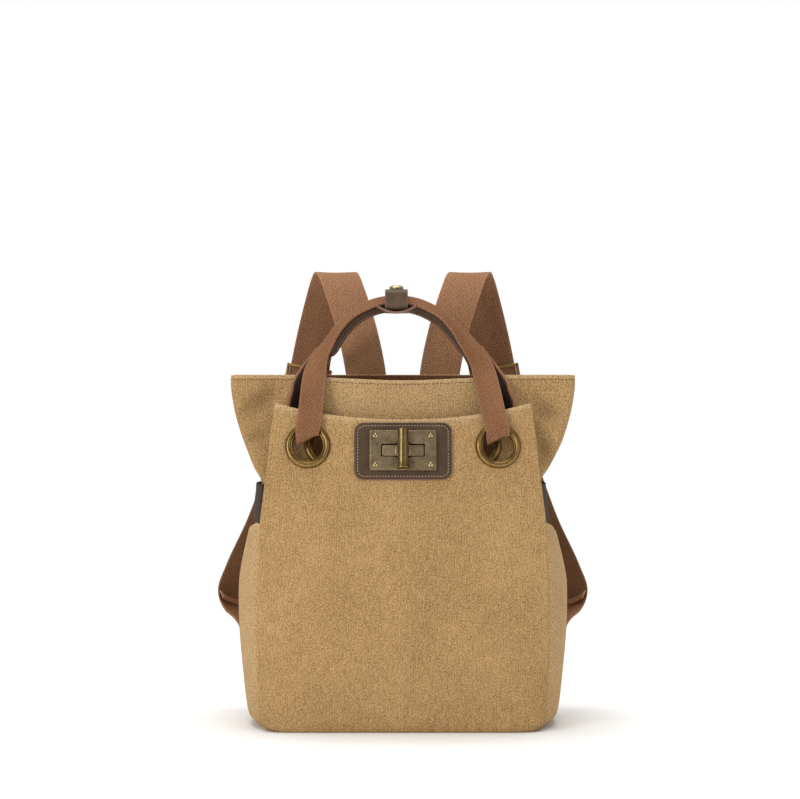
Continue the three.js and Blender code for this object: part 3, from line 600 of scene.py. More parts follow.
def shell_point(u, v):
    """The outer face of the bag body, round its loop by u and from the bottom to the rim by v."""
    across = np.interp(u, SHELL_KNOTS, LOOP_ACROSS)
    depthwise = np.interp(u, SHELL_KNOTS, LOOP_DEPTHWISE)
    outward = np.radians(np.interp(u, SHELL_KNOTS, LOOP_FACING))
    row = v * SHELL_ROWS
    share = np.interp(row, np.arange(SHELL_ROWS + 1), ROW_SHARES)
    z = np.interp(row, np.arange(SHELL_ROWS + 1), ROW_HEIGHTS)
    front_share = np.clip(-depthwise, 0, 1)
    rim_change = BACK_RIM_RISE * (1 + depthwise) / 2
    wing_rise = WING_RIM_RISE * smooth_step(np.abs(across), 0.35, 0.7)
    rim_change = rim_change + (wing_rise - RIM_DIP * np.exp(-(across / RIM_DIP_REACH) ** 2)) * front_share
    z = z + rim_change * smooth_step(z, RIM_HEIGHT - 40 * MM, RIM_HEIGHT)
    corner, front, back = (body_at(column, z) for column in ("corner", "front", "back"))
    radius = np.interp(z, CORNER_HEIGHTS, CORNER_RADII)
    belly = (body_at("side", z) - corner) * (1 - depthwise ** 2)
    x = (corner - radius) * across + (radius + belly) * np.cos(outward)
    x = x - drawn_in(across, z) * smooth_step(across, 0.7, 1)
    y = (front + back) / 2 + ((back - front) / 2 - radius) * depthwise + radius * np.sin(outward)
    y = y - depthwise * wing_turn(x, z) + front_share ** 6 * fold_depth(x, z)
    y = y + np.clip(depthwise, 0, 1) ** 6 * back_sag(x, z)
    middle = (front + back) / 2
    return np.stack([x * share, middle + (y - middle) * share, z], axis=-1)


# %% Sew the shell
def shell_wear_light_and_shade(u, v):
    """Worn paler along the rim, painted light above the panel, painted shade on the wings, most in their
    folds.
    """
    x, y, z = np.moveaxis(shell_point(u, v), -1, 0)
    # Painted shade on the wings, stronger on the left one and deepest in the valleys of their folds.
    wing = smooth_step(np.abs(x), 105 * MM, 128 * MM) * smooth_step(z, 215 * MM, 235 * MM) * (y < 0)
    valley = fold_depth(x, z) / (6.5 * MM)
    shaded = wing * (np.where(x < 0, 0.2, 0.05) + 0.5 * valley)
    # Painted light on the wall above the panel, between the wings; the rim itself is worn paler.
    between_wings = 1 - smooth_step(np.abs(x), 90 * MM, 115 * MM)
    above_panel = smooth_step(z, 272 * MM, 292 * MM) * between_wings * (y < 0)
    at_rim = smooth_step(v, 1 - 1.2 / SHELL_ROWS, 1)
    return np.maximum(0.9 * at_rim, 0.3 * above_panel) - shaded


shell = cut_cloth("body_shell", shell_point, sum(SHELL_COLUMNS), SHELL_ROWS, shell_wear_light_and_shade,
                  start_row=len(BOTTOM_SHARES))
close_seam(shell)
thicken(shell, CANVAS_WALL, CANVAS_EDGE, canvas)
print("shell before its rings:", len(shell.data.polygons), "faces")


# %% Seats and round holes
def front_seat(surface_y, x, z):
    """The frame of a piece that sits on a front surface: x to the right, y up the slope, z outwards."""
    step = 8 * MM
    right = Vector((2 * step, surface_y(x + step, z) - surface_y(x - step, z), 0))
    up = Vector((0, surface_y(x, z + step) - surface_y(x, z - step), 2 * step))
    out = right.cross(up).normalized()
    right.normalize()
    seat = Matrix((right, out.cross(right), out)).transposed().to_4x4()
    seat.translation = (x, surface_y(x, z), z)
    return seat


def put(piece, seat):
    """Carries a finished mesh into its seat, so that its object stays at the origin."""
    piece.matrix_world = seat
    choose(piece)
    bpy.ops.object.transform_apply(location=True, rotation=True, scale=True)


def cut_out(piece, tool):
    """Cuts a tool's shape out of a piece and clears the tool away."""
    modify(piece, "BOOLEAN", object=tool, operation="DIFFERENCE", solver="EXACT")
    bpy.data.objects.remove(tool)


def bore(piece, seat, radius, reach):
    """Cuts a round hole through a piece, along the z of a seat."""
    punch = added("punch", bpy.ops.mesh.primitive_cylinder_add, vertices=48, radius=radius, depth=reach)
    put(punch, seat)
    cut_out(piece, punch)


# %% Punch the wall for its rings
SIDES = (("left", -1), ("right", 1))
RING_HEIGHT = 257 * MM
RING_HOLE = 15.7 * MM
WALL_RING_X = 69 * MM
PANEL_RING_X = 86 * MM
HOLE_REACH = 24 * MM
wall_seats = {name: front_seat(front_y, sign * WALL_RING_X, RING_HEIGHT) for name, sign in SIDES}
for seat in wall_seats.values():
    bore(shell, seat, RING_HOLE, HOLE_REACH)
keep(shell, "canvas", "base", "body_front_wall", "body_back_wall", "side_gusset_left", "side_gusset_right")


# %% Sewing along a path
def normals_of(surface, u, v, step=1e-3):
    """Unit normals of a surface, outwards where u runs right and v up as seen from outside."""
    across = surface(np.minimum(u + step, 1), v) - surface(np.maximum(u - step, 0), v)
    upwards = surface(u, np.minimum(v + step, 1)) - surface(u, np.maximum(v - step, 0))
    normals = np.cross(across, upwards)
    return normals / np.linalg.norm(normals, axis=-1, keepdims=True)


def sew(name, surface, paths, thread, slot, pitch=3.4 * MM, length=2.5 * MM, thickness=0.7 * MM):
    """Stitches of thread along paths of (u, v) on a surface, as one joined mesh."""
    pattern = added("stitch_pattern", bpy.ops.mesh.primitive_ico_sphere_add, subdivisions=2, radius=0.5)
    shape = np.array([vertex.co for vertex in pattern.data.vertices])
    faces = np.array([face.vertices for face in pattern.data.polygons])
    bpy.data.objects.remove(pattern)
    corners = []
    for u, v in paths:
        line = surface(u, v)
        reach = np.linalg.norm(np.diff(line, axis=0, prepend=line[:1]), axis=1).cumsum()
        at = np.arange(pitch / 2, reach[-1] - length / 2, pitch)
        u_at, v_at = (np.interp(at, reach, values) for values in (u, v))
        start, end = (np.stack([np.interp(at + step, reach, axis) for axis in line.T], axis=1)
                      for step in (-length / 2, length / 2))
        along = (end - start) / np.linalg.norm(end - start, axis=1, keepdims=True)
        out = normals_of(surface, u_at, v_at)
        axes = (along * length, np.cross(out, along) * thickness, out * thickness)
        offsets = sum(axis[:, None] * shape[:, [column]] for column, axis in enumerate(axes))
        corners.append((surface(u_at, v_at)[:, None] + offsets).reshape(-1, 3))
    corners = np.concatenate(corners)
    count = len(corners) // len(shape)
    triangles = (faces + np.arange(count)[:, None, None] * len(shape)).reshape(-1, 3)
    mesh = bpy.data.meshes.new(name)
    mesh.from_pydata(corners.tolist(), [], triangles.tolist())
    mesh.materials.append(thread)
    piece = bpy.data.objects.new(name, mesh)
    bpy.context.scene.collection.objects.link(piece)
    keep(piece, slot)


# %% Topstitch round the rim
STITCH_DROP = 4 * MM
rim_row = 1 - STITCH_DROP / (WALL_HEIGHTS[1] - WALL_HEIGHTS[0]) / SHELL_ROWS
round_rim = np.linspace(0, 1, 600)
sew("rim_topstitch", shell_point, [(round_rim, np.full(600, rim_row))], dark_thread, "webbing")

# %% [markdown]
# ## Facing inside the rim
# A band of brown cloth lines the inside of the rim; its back half shows as a thin crescent over the dip
# of the front. It follows the shell, one wall inwards, so it is cut from the same formula.

# %% Facing band
FACING_LOW = 291.5 * MM
FACING_WALL = 1 * MM
FACING_INSET = CANVAS_WALL + 0.3 * MM
FACING_DROP = 0.6 * MM
wall_row = np.interp(FACING_LOW, WALL_HEIGHTS, np.arange(len(WALL_HEIGHTS)))
facing_row = (len(BOTTOM_SHARES) + wall_row) / SHELL_ROWS


def facing_point(u, v):
    """The facing's outer face, one wall inwards from the shell and a little lower at the rim."""
    row = facing_row + (1 - facing_row) * v
    point = shell_point(u, row) - normals_of(shell_point, u, row) * FACING_INSET
    return point - np.stack([0 * v, 0 * v, FACING_DROP * v], axis=-1)


facing = cut_cloth("facing_band", facing_point, sum(SHELL_COLUMNS), 6)
close_seam(facing, 0.05 * MM)
thicken(facing, FACING_WALL, 0.3 * MM, facing_cloth)
keep(facing, "facing", "rim_facing")

# %% [markdown]
# ## Front panel
# The whole front is covered by one large panel of the same canvas, sewn along its sides and bottom and
# left open along its dipped top, so it is also a pocket. It bulges forward with what the pocket holds.
# Its sides are turned back over a cord-like seam, which is shaped here as a small roll at each edge.

# %% Front panel
PANEL = table("height half edge crown", [
    (0.4, 123.6, 0, 16),
    (2.3, 126, 0, 17),
    (7, 128.8, 0, 16),
    (16, 130.2, 0, 14),
    (50, 131, 0, 11),
    (83, 131.5, 0, 10),
    (111, 131.3, 0, 10),
    (136, 130.6, 0, 11),
    (162, 130, 0, 11.5),
    (190, 129, 0.5, 11.5),
    (207, 127, 2.5, 10.5),
    (224, 125, 5.5, 8),
    (236, 123.2, 7.5, 6),
    (251, 121.8, 9, 4.5),
    (267, 120.3, 10, 3.5),
    (297, 116, 11, 2.5),
])
PANEL_BOTTOM = 0.4 * MM
PANEL_TOP_MIDDLE = 281 * MM
PANEL_TOP_CORNER = 297 * MM
PANEL_SEAM = 0.6 * MM
PANEL_COLUMNS = 104
PANEL_ROWS = 64
COLUMN_GATHER = 0.3
ROLL_RADIUS = 1.2 * MM
ROLL_START = 0.965
ROLL_TURN = math.radians(100)
TOP_CORNER_ROUNDING = {-1: 4 * MM, 1: 7 * MM}


def panel_at(column, z):
    """One column of the panel's table at a height."""
    return read(PANEL, "height", column, z)


def squareness(z):
    """The power of the panel's bow: it is round above and squarer where the panel stands on the floor."""
    return 20 - 16 * smooth_step(z, 8 * MM, 75 * MM)


def panel_y(x, z):
    """Depth of the panel's outer face."""
    roundness = np.maximum(1 - np.abs(x / panel_at("half", z)) ** squareness(z), 0)
    stand_off = panel_at("edge", z) + panel_at("crown", z) * roundness
    return body_at("front", z) - PANEL_SEAM - CANVAS_WALL - stand_off


def panel_point(u, v):
    """The panel's outer face; its columns gather towards the sides, where the cloth rolls back."""
    sideways = 2 * u - 1
    sideways = sideways * (1 + COLUMN_GATHER - COLUMN_GATHER * sideways ** 2)
    side = np.where(sideways < 0, -1, 1)
    share = np.abs(sideways)
    rounding = np.where(side < 0, TOP_CORNER_ROUNDING[-1], TOP_CORNER_ROUNDING[1])
    corner_share = rounding / panel_at("half", PANEL_TOP_CORNER)
    past = np.clip((share - 1 + corner_share) / corner_share, 0, 1)
    top = PANEL_TOP_MIDDLE + (PANEL_TOP_CORNER - PANEL_TOP_MIDDLE) * share ** 2.2
    top = top - rounding * (1 - np.sqrt(1 - past ** 2))
    z = PANEL_BOTTOM + (top - PANEL_BOTTOM) * v
    half = panel_at("half", z)
    slope = np.arctan(0.9 * squareness(z) * panel_at("crown", z) / half)
    turn = slope + (ROLL_TURN - slope) * np.clip((share - ROLL_START) / (1 - ROLL_START), 0, 1)
    flat = (half - ROLL_RADIUS * (1 - np.sin(slope))) * np.minimum(share / ROLL_START, 1)
    x = flat + ROLL_RADIUS * (np.sin(turn) - np.sin(slope))
    y = panel_y(flat, z) + ROLL_RADIUS * (np.cos(slope) - np.cos(turn))
    return np.stack([side * x, y, z], axis=-1)


def panel_wear(u, v):
    """Paler along the top edge and, less, along the rolled sides."""
    at_top = smooth_step(v, 1 - 1.6 / PANEL_ROWS, 1)
    return np.maximum(at_top, 0.5 * smooth_step(np.abs(2 * u - 1), 0.93, 1))


panel = cut_cloth("front_panel_cloth", panel_point, PANEL_COLUMNS, PANEL_ROWS, panel_wear)
thicken(panel, CANVAS_WALL, CANVAS_EDGE, canvas)
panel_seats = {name: front_seat(panel_y, sign * PANEL_RING_X, RING_HEIGHT) for name, sign in SIDES}
for seat in panel_seats.values():
    bore(panel, seat, RING_HOLE, HOLE_REACH)
keep(panel, "canvas", "front_panel")

# %% [markdown]
# ## Side pockets and tabs
# Each side has a slip pocket that bellies out between the corner seams, with a dipped mouth, and above
# it a band of leather that draws the side in. Both are cut from the line of the side wall, standing off
# it: the pocket by its fullness, the tab by its own thickness.

# %% Side pockets
SEAM_INSET = 2.8 * MM
POCKET_BOTTOM = 0.4 * MM
POCKET_TOP_CORNER = 187 * MM
POCKET_TOP_MIDDLE = {-1: 179 * MM, 1: 176 * MM}
POCKET_REACH = {"forward": 3.2 * MM, "inward": 2.4 * MM, "inward at back": 3.4 * MM}
POCKET_SEAM_FULLNESS = 2.2 * MM
POCKET_MOUTH_DRAW = 3 * MM
POCKET_RIPPLE = 1.2 * MM
POCKET_TUCK = 4 * MM
POCKET_ROWS = 44


def side_point(sign, t, z, stand_off):
    """A place on a side wall, by its share t from the front seam to the back one, standing off it."""
    corner = body_at("corner", z)
    front = front_y(sign * corner, z) + SEAM_INSET
    back = back_y(sign * corner, z) - SEAM_INSET
    x = corner + (body_at("side", z) - corner) * 4 * t * (1 - t) + stand_off - drawn_in(sign, z)
    return np.stack([sign * x, front + (back - front) * t, z], axis=-1)


def from_front(sign, u):
    """The share t that goes with a column, so that columns run to the right as seen from outside."""
    return u if sign > 0 else 1 - u


def pocket_surface(sign):
    """The outer face of a pocket: full in the middle, tucked under the bag and in at its seams."""
    def pocket_point(u, v):
        t = from_front(sign, 0.5 - 0.5 * np.cos(np.pi * u))
        belly = 4 * t * (1 - t)
        top = POCKET_TOP_CORNER + (POCKET_TOP_MIDDLE[sign] - POCKET_TOP_CORNER) * belly ** 2
        z = POCKET_BOTTOM + (top - POCKET_BOTTOM) * v
        fullness = (POCKET_SEAM_FULLNESS + body_at("pocket", z)) * np.maximum(belly, 0) ** 0.42
        fullness = fullness - POCKET_MOUTH_DRAW * smooth_step(z, 126 * MM, 182 * MM) * belly
        at_panel = (1 - t) ** 24
        ripple = POCKET_RIPPLE * np.sin(2 * np.pi * (1.6 * t + 0.2 * sign)) * belly
        ripple = ripple * smooth_step(z, top - 50 * MM, top)
        tuck = POCKET_TUCK * (1 - np.clip(z / (7 * MM), 0, 1)) ** 2
        tuck = tuck + POCKET_REACH["inward"] * at_panel + POCKET_REACH["inward at back"] * t ** 24
        place = side_point(sign, t, z, 0.3 * MM + fullness + ripple - tuck)
        return place - np.stack([0 * t, POCKET_REACH["forward"] * at_panel, 0 * t], axis=-1)
    return pocket_point


for name, sign in SIDES:
    pocket = cut_cloth("pocket_cloth_" + name, pocket_surface(sign), 40, POCKET_ROWS,
                       wear_and_shade=lambda u, v: 0.5 + 0.5 * smooth_step(v, 1 - 1.4 / POCKET_ROWS, 1))
    thicken(pocket, CANVAS_WALL, CANVAS_EDGE, canvas)
    keep(pocket, "canvas", "side_pocket_" + name)

# %% Leather tabs
TAB_ENDS = (0.03, 0.97)
TAB_HEIGHTS = (187.4 * MM, 222 * MM)
TAB_STAND_OFF = 1 * MM + LEATHER_WALL
TAB_WRAP = {"forward": 5.5 * MM, "inward": 3 * MM}
TAB_BOW = 1.8 * MM


def tab_surface(sign):
    """The outer face of a tab, whose ends bend round the corners of the bag."""
    def tab_point(u, v):
        t = TAB_ENDS[0] + (TAB_ENDS[1] - TAB_ENDS[0]) * from_front(sign, u)
        z = TAB_HEIGHTS[0] + (TAB_HEIGHTS[1] - TAB_HEIGHTS[0]) * v
        wrap = (1 - from_front(sign, u)) ** 10
        inward = TAB_WRAP["inward"] * (wrap + from_front(sign, u) ** 10)
        place = side_point(sign, t, z, TAB_STAND_OFF + TAB_BOW * 4 * t * (1 - t) - inward)
        return place - np.stack([0 * z, TAB_WRAP["forward"] * wrap, 0 * z], axis=-1)
    return tab_point


def frame_path(inset_u, inset_v):
    """A path round a surface, inset from its four edges."""
    corners = np.array([(inset_u, inset_v), (1 - inset_u, inset_v), (1 - inset_u, 1 - inset_v),
                        (inset_u, 1 - inset_v), (inset_u, inset_v)])
    at = np.linspace(0, 4, 201)
    return tuple(np.interp(at, np.arange(5), column) for column in corners.T)


for name, sign in SIDES:
    tab = cut_cloth("leather_tab_" + name, tab_surface(sign), 48, 10)
    thicken(tab, LEATHER_WALL, 0.5 * MM, tab_leather)
    keep(tab, "leather", "side_tab_" + name)
    sew("tab_stitches_" + name, tab_surface(sign), [frame_path(0.04, 0.1)], dark_thread, "leather",
        pitch=2.7 * MM, length=1.9 * MM, thickness=0.6 * MM)

# %% [markdown]
# ## Brass rings
# Four eyelets, pressed from sheet and rolled over: a half-round flange outside with a small inner lip,
# a barrel through the cloth and a flat washer behind. One profile is spun about its axis, like a turned
# piece, and copied into the four seats.


# %% Turning and copying
def turned(name, profile, finish, steps=64):
    """A turned piece about z: a closed profile of (radius, height) in millimetres, spun round."""
    piece = added(name, bpy.ops.mesh.primitive_circle_add, vertices=len(profile), fill_type="NOTHING")
    for vertex, (radius, height) in zip(piece.data.vertices, profile):
        vertex.co = (radius * MM, 0, height * MM)
    edit(
        piece,
        (bpy.ops.mesh.spin, {"steps": steps, "angle": 2 * math.pi, "center": (0, 0, 0), "axis": (0, 0, 1)}),
        (bpy.ops.mesh.remove_doubles, {"threshold": 0.01 * MM}),
        (bpy.ops.mesh.delete_loose, {}),
        (bpy.ops.mesh.normals_make_consistent, {}),
    )
    piece.data.materials.append(finish)
    return piece


def copy_of(piece, name):
    """A copy of a piece with a mesh of its own."""
    twin = piece.copy()
    twin.data = piece.data.copy()
    twin.name = name
    bpy.context.scene.collection.objects.link(twin)
    return twin


# %% Brass rings
RING_PROFILE = (
    # radius, height, in millimetres
    (14, -3.7), (14, -1), (14, 1.2), (14.1, 1.8), (14.4, 2.2), (14.8, 2.3), (15.1, 2.2), (15.3, 2.4),
    (15.8, 3), (16.6, 3.5), (17.5, 3.7), (18.4, 3.6), (19.3, 3.1), (20, 2.3), (20.45, 1.4), (20.7, 0.6),
    (20.7, 0.2), (15.3, 0.2), (15.3, -2.7), (18.3, -2.7), (18.5, -2.9), (18.5, -3.5), (18.3, -3.7),
)
ring_pattern = turned("ring_pattern", RING_PROFILE, ring_brass)
ring_places = [("panel_" + name, seat) for name, seat in panel_seats.items()]
ring_places += [("wall_" + name, seat) for name, seat in wall_seats.items()]
for name, seat in ring_places:
    ring = copy_of(ring_pattern, "ring_" + name)
    put(ring, seat)
    keep(ring, "brass", "grommet_" + name, crease=50)
bpy.data.objects.remove(ring_pattern)

# %% [markdown]
# ## Turn lock
# A leather patch carries a cast brass plate with a slot, a base with a round boss under the slot, and a
# barrel toggle on a stem, which is the only piece that turns. Everything is built flat on the seat of
# the lock, in layers outwards from the panel, and then carried onto the slope of the panel.

# %% Flat plates with rounded corners
LOCK_HEIGHT = 252 * MM
LOCK_LAYERS = {
    # lowest and highest face above the panel, in millimetres
    "patch": (0.3, 2.5),
    "plate": (2.8, 6),
    "base": (2.8, 3.9),
    "pad": (3.7, 5.4),
}
lock_seat = front_seat(panel_y, 0.0, LOCK_HEIGHT)
print("lock seat leans back by", round(math.degrees(math.asin(lock_seat[2][2])), 1), "degrees")


def rounded_plate(name, size, corner, layer, *finishes):
    """A flat plate with rounded corners in one layer of the lock; sizes in millimetres."""
    low, high = LOCK_LAYERS[layer]
    piece = added(name, bpy.ops.mesh.primitive_plane_add, size=MM)
    edit(
        piece,
        (bpy.ops.transform.resize, {"value": (*size, 1)}),
        (bpy.ops.transform.translate, {"value": (0, 0, high * MM)}),
        (bpy.ops.mesh.bevel, {"offset": corner * MM, "segments": 8, "affect": "VERTICES"}),
    )
    for finish in finishes:
        piece.data.materials.append(finish)
    modify(piece, "SOLIDIFY", thickness=(high - low) * MM, offset=-1, material_offset_rim=len(finishes) - 1)
    return piece


def soften(piece, width, segments=3):
    """Rounds the sharp edges of a hard piece."""
    modify(piece, "BEVEL", width=width * MM, segments=segments, limit_method="ANGLE",
           angle_limit=math.radians(50))


# %% Leather patch
PATCH_SIZE = (88, 53)
patch = rounded_plate("lock_leather", PATCH_SIZE, 9, "patch", leather, leather_edge)
soften(patch, 0.6)
put(patch, lock_seat)
keep(patch, "leather", "lock_patch")


def patch_face(u, v):
    """The outer face of the patch in its seat."""
    top = np.full_like(u, LOCK_LAYERS["patch"][1])
    flat = np.stack([(u - 0.5) * PATCH_SIZE[0], (v - 0.5) * PATCH_SIZE[1], top], axis=-1)
    seat = np.array(lock_seat)
    return flat * MM @ seat[:3, :3].T + seat[:3, 3]


def rounded_path(inset, corner):
    """A closed path round the patch, inset from its edge, in shares of its size."""
    turn = np.linspace(0, 2 * np.pi, 241)
    middle = np.array(PATCH_SIZE) / 2 - inset - corner
    circle = np.stack([np.cos(turn), np.sin(turn)], axis=1)
    path = circle * corner + np.sign(circle.round(6)) * middle
    return tuple((path / PATCH_SIZE + 0.5).T)


sew("patch_stitches", patch_face, [rounded_path(3.2, 6)], light_thread, "leather",
    pitch=2.75 * MM, length=1.9 * MM, thickness=0.65 * MM)

# %% Plate with its slot
PLATE_HOLLOW = (50, 28, 2.8)
PLATE_SLOT = (39.4, 12, 20)
BOSS_HOLE = 9 * MM
plate = rounded_plate("lock_plate_brass", (60, 37), 1.4, "plate", plate_brass)
plate_back = (0, 0, LOCK_LAYERS["plate"][0] * MM)
for size in (PLATE_HOLLOW, PLATE_SLOT):
    cutter = added("cutter", bpy.ops.mesh.primitive_cube_add, size=MM, scale=size, location=plate_back)
    cut_out(plate, cutter)
bore(plate, Matrix.Identity(4), BOSS_HOLE, PLATE_SLOT[2] * MM)
soften(plate, 0.75)
put(plate, lock_seat)
keep(plate, "brass", "lock_plate")


# %% Joining meshes
def joined(*pieces):
    """Several meshes as one piece, which keeps the first one's name."""
    choose(*pieces)
    bpy.ops.object.join()
    return pieces[0]


# %% Base and boss
BOSS_PROFILE = ((0, 3.2), (7.6, 3.2), (7.6, 5.6), (7.45, 6), (7.1, 6.2), (6.6, 6.3), (0, 6.3))
base_plate = rounded_plate("lock_base_brass", (49.4, 27.4), 2, "base", hollow_brass)
pad = rounded_plate("pad", (37.4, 10), 1, "pad", plate_brass)
soften(pad, 0.4)
boss = turned("boss", BOSS_PROFILE, plate_brass, steps=48)
lock_base = joined(base_plate, pad, boss)
put(lock_base, lock_seat)
keep(lock_base, "brass", "lock_base")

# %% Toggle
BARREL_AXIS = 12.8
BARREL_PROFILE = (
    (0, -17.5), (4.5, -17.5), (4.8, -18.2), (5.2, -18.5), (5.6, -18.3), (5.8, -17.8), (5.7, -17),
    (5.4, -15.6), (5.3, -12), (5.2, 0), (5, 12), (5, 15), (5.1, 16.6), (5.1, 17.8), (4.9, 18.3),
    (4.4, 18.5), (0, 18.5),
)
END_PROFILE = ((0, -17.7), (4.6, -17.7), (4.6, -17.4), (0, -17.4))
STEM_PROFILE = ((0, 6.6), (3.2, 6.6), (3.2, BARREL_AXIS), (0, BARREL_AXIS))
barrel = turned("toggle_brass", BARREL_PROFILE, toggle_brass, steps=48)
barrel = joined(barrel, turned("end_face", END_PROFILE, hollow_brass, steps=32))
put(barrel, Matrix.Translation((0, 0, BARREL_AXIS * MM)) @ Matrix.Rotation(math.radians(-90), 4, "X"))
stem = turned("stem", STEM_PROFILE, toggle_brass, steps=32)
toggle = joined(barrel, stem)
put(toggle, lock_seat)
keep(toggle, "brass", "lock_toggle", body="toggle")

# %% Corner rivets, each a cluster of three small domes
RIVET_CORNERS = ((-25, 13.4), (25, 13.4), (-25, -13.4), (25, -13.4))
DOME_RADIUS = 1.2
DOME_RING = 1.35
DOME_HEIGHT = 6.2
for number, (x, y) in enumerate(RIVET_CORNERS, 1):
    domes = []
    for turn in (90, 210, 330):
        dome = added("dome", bpy.ops.mesh.primitive_uv_sphere_add, segments=20, ring_count=12,
                     radius=DOME_RADIUS * MM)
        around = math.radians(turn)
        place = (x + DOME_RING * math.cos(around), y + DOME_RING * math.sin(around), DOME_HEIGHT)
        put(dome, Matrix.Translation(Vector(place) * MM))
        domes.append(dome)
    rivet = joined(*domes)
    rivet.name = f"rivet_cluster_{number}"
    rivet.data.materials.append(rubbed_brass)
    put(rivet, lock_seat)
    keep(rivet, "brass", f"lock_rivet_{number}")

# %% [markdown]
# ## Carrying handles
# Two handles of 22 mm webbing arch over the mouth. The front one comes down before the panel, goes in
# through each brass ring and returns behind it; the back one is sewn to the back wall. A ribbon follows
# a table of stations, turning from facing forward on the legs to lying flat over the arch. A second
# ply lies under each arch, and a roll of leather is sewn under that.


# %% Ribbon along stations
def webbing_frame(rows, over):
    """Centre, width direction, face direction and width along a smooth line through stations."""
    points = np.stack([rows["x"], rows["y"], rows["z"]], axis=1)
    padded = np.concatenate([[2 * points[0] - points[1]], points, [2 * points[-1] - points[-2]]])
    gaps = np.sqrt(np.linalg.norm(np.diff(padded, axis=0), axis=1))[:, None]
    before, start, end, after = padded[:-3], padded[1:-2], padded[2:-1], padded[3:]
    gap_before, gap, gap_after = gaps[:-2], gaps[1:-1], gaps[2:]
    rise = end - start
    leave = ((start - before) / gap_before - (end - before) / (gap_before + gap) + rise / gap) * gap
    arrive = (rise / gap - (after - start) / (gap + gap_after) + (after - end) / gap_after) * gap
    square = 3 * rise - 2 * leave - arrive
    cube = leave + arrive - 2 * rise
    rows = {"index": np.arange(len(points)), **rows}

    def frame_at(v):
        index = v * (len(points) - 1)
        at = np.minimum(index.astype(int), len(points) - 2)
        t = (index - at)[..., None]
        centre = start[at] + t * (leave[at] + t * (square[at] + t * cube[at]))
        along = leave[at] + t * (2 * square[at] + 3 * t * cube[at])
        along = along / np.linalg.norm(along, axis=-1, keepdims=True)
        turn = np.radians(read(rows, "index", "turn", index))[..., None]
        side = read(rows, "index", "side", index)[..., None]
        level = np.array((1, 0, 0)) + read(rows, "index", "slant", index)[..., None] * np.array((0, 0, 1))
        across = np.cos(turn) * side * level + np.sin(turn) * over
        across = across - along * np.sum(across * along, axis=-1, keepdims=True)
        across = across / np.linalg.norm(across, axis=-1, keepdims=True)
        return centre, across, np.cross(along, across), read(rows, "index", "width", index)[..., None]
    return frame_at


def ribbon(frame_at, crown=0.4 * MM):
    """The outer face of a webbing, very slightly crowned across its width."""
    def ribbon_point(u, v):
        centre, across, face, width = frame_at(v)
        sideways = (0.5 - u)[..., None]
        return centre + across * sideways * width + face * crown * (1 - 4 * sideways ** 2)
    return ribbon_point


def on_side(surface, signs):
    """A surface as made or, where a sign is negative, mirrored with its face still outwards."""
    if min(signs) > 0:
        return surface
    return lambda u, v: surface(1 - u, v) * np.array(signs)


# %% Stations of the handles
HANDLE_LEAN = -6 * MM
HANDLE_LEAN_HEIGHTS = (250 * MM, 392 * MM)
HANDLE_TILT = math.radians(20)
# The skew turns the left half further and the right half less; the slant tips the fold in the ring.
ARCH = table("x y z turn skew slant width", [
    (0, -14.5, 392, 90, 0, 0, 22),
    (20, -14.5, 389.5, 90, 0, 0, 22),
    (40, -15.5, 380, 88, 2, 0, 22),
    (54, -18, 367, 78, 6, 0, 22),
    (65, -22, 351, 62, 12, 0, 22),
    (75, -28, 334, 38, 10, 0, 22),
])
FRONT_LEG = table("x proud z turn skew slant width", [
    (79.4, -6, 312, 0, 0, 0, 22),
    (82.4, 3.4, 291, 0, 0, 0, 22),
    (84.5, 6.8, 278, 0, 0, 0, 22),
    (86, 6.8, 270, 0, 0, 0.25, 21.5),
    (86, 4.4, 264.4, 0, 0, 0.52, 21),
    (86, -0.5, 262.6, 0, 0, 0.52, 21),
    (86, -5.4, 264.4, 0, 0, 0.35, 21),
    (86.5, -7.2, 270, 0, 0, 0, 21.5),
    (89, -7, 278, 0, 0, 0, 22),
    (93, -6.4, 294, -8, 0, 0, 22),
    (91, -6.4, 305, -34, 0, 0, 22),
    (86, -13.8, 316.5, -2, 0, 0, 22),
    (76.6, -28.6, 333, 34, 10, 0, 22),
    (69, -32.3, 345, 52, 12, 0, 22),
])
BACK_LEG = table("x y z turn skew slant width", [
    (77.5, -43.6, 324.5, 0, 0, 0, 22),
    (80, -47.9, 290, 0, 0, 0, 22),
    (81, -53.6, 262, 0, 0, 0, 22),
])


def handle_frame(leg):
    """Both halves of a handle, from its left end over the arch to its right end."""
    half = {name: np.concatenate([data, leg[name]]) for name, data in ARCH.items()}
    both = {name: np.concatenate([data[:0:-1], data]) for name, data in half.items()}
    both["side"] = np.sign(np.arange(len(both["x"])) - len(leg["x"]) - len(ARCH["x"]) + 1.0)
    both["turn"] = both["turn"] - both["side"] * both["skew"]
    both["x"] = both["x"] * both["side"] + HANDLE_LEAN * smooth_step(both["z"], *HANDLE_LEAN_HEIGHTS)
    return webbing_frame(both, np.array((0, math.cos(HANDLE_TILT), math.sin(HANDLE_TILT))))


FRONT_LEG["y"] = panel_y(FRONT_LEG["x"], FRONT_LEG["z"]) - FRONT_LEG["proud"]
handle_frames = {"front": handle_frame(FRONT_LEG), "back": handle_frame(BACK_LEG)}
print("handles lean left by", round(-HANDLE_LEAN / MM, 1), "mm at the top of their arch")

# %% Second plies and grips under the arches
GRIP_RADIUS = 3.6 * MM
GRIP_DROP = GRIP_RADIUS + 2 * WEBBING_WALL + 0.1 * MM
GRIP_FORWARD = 2 * MM
GRIP_END_HEIGHT = 343 * MM
LIP_PROUD = 0.5 * MM
LIP_SECTOR = (238, 276)
PLY_END_HEIGHT = 346 * MM


def arch_shares(frame_at, height):
    """The shares of a handle's length where its arch rises above a height and falls below it again."""
    shares = np.linspace(0, 1, 2001)
    low = shares[frame_at(shares)[0][:, 2] < height]
    return low[low < 0.5].max(), low[low > 0.5].min()


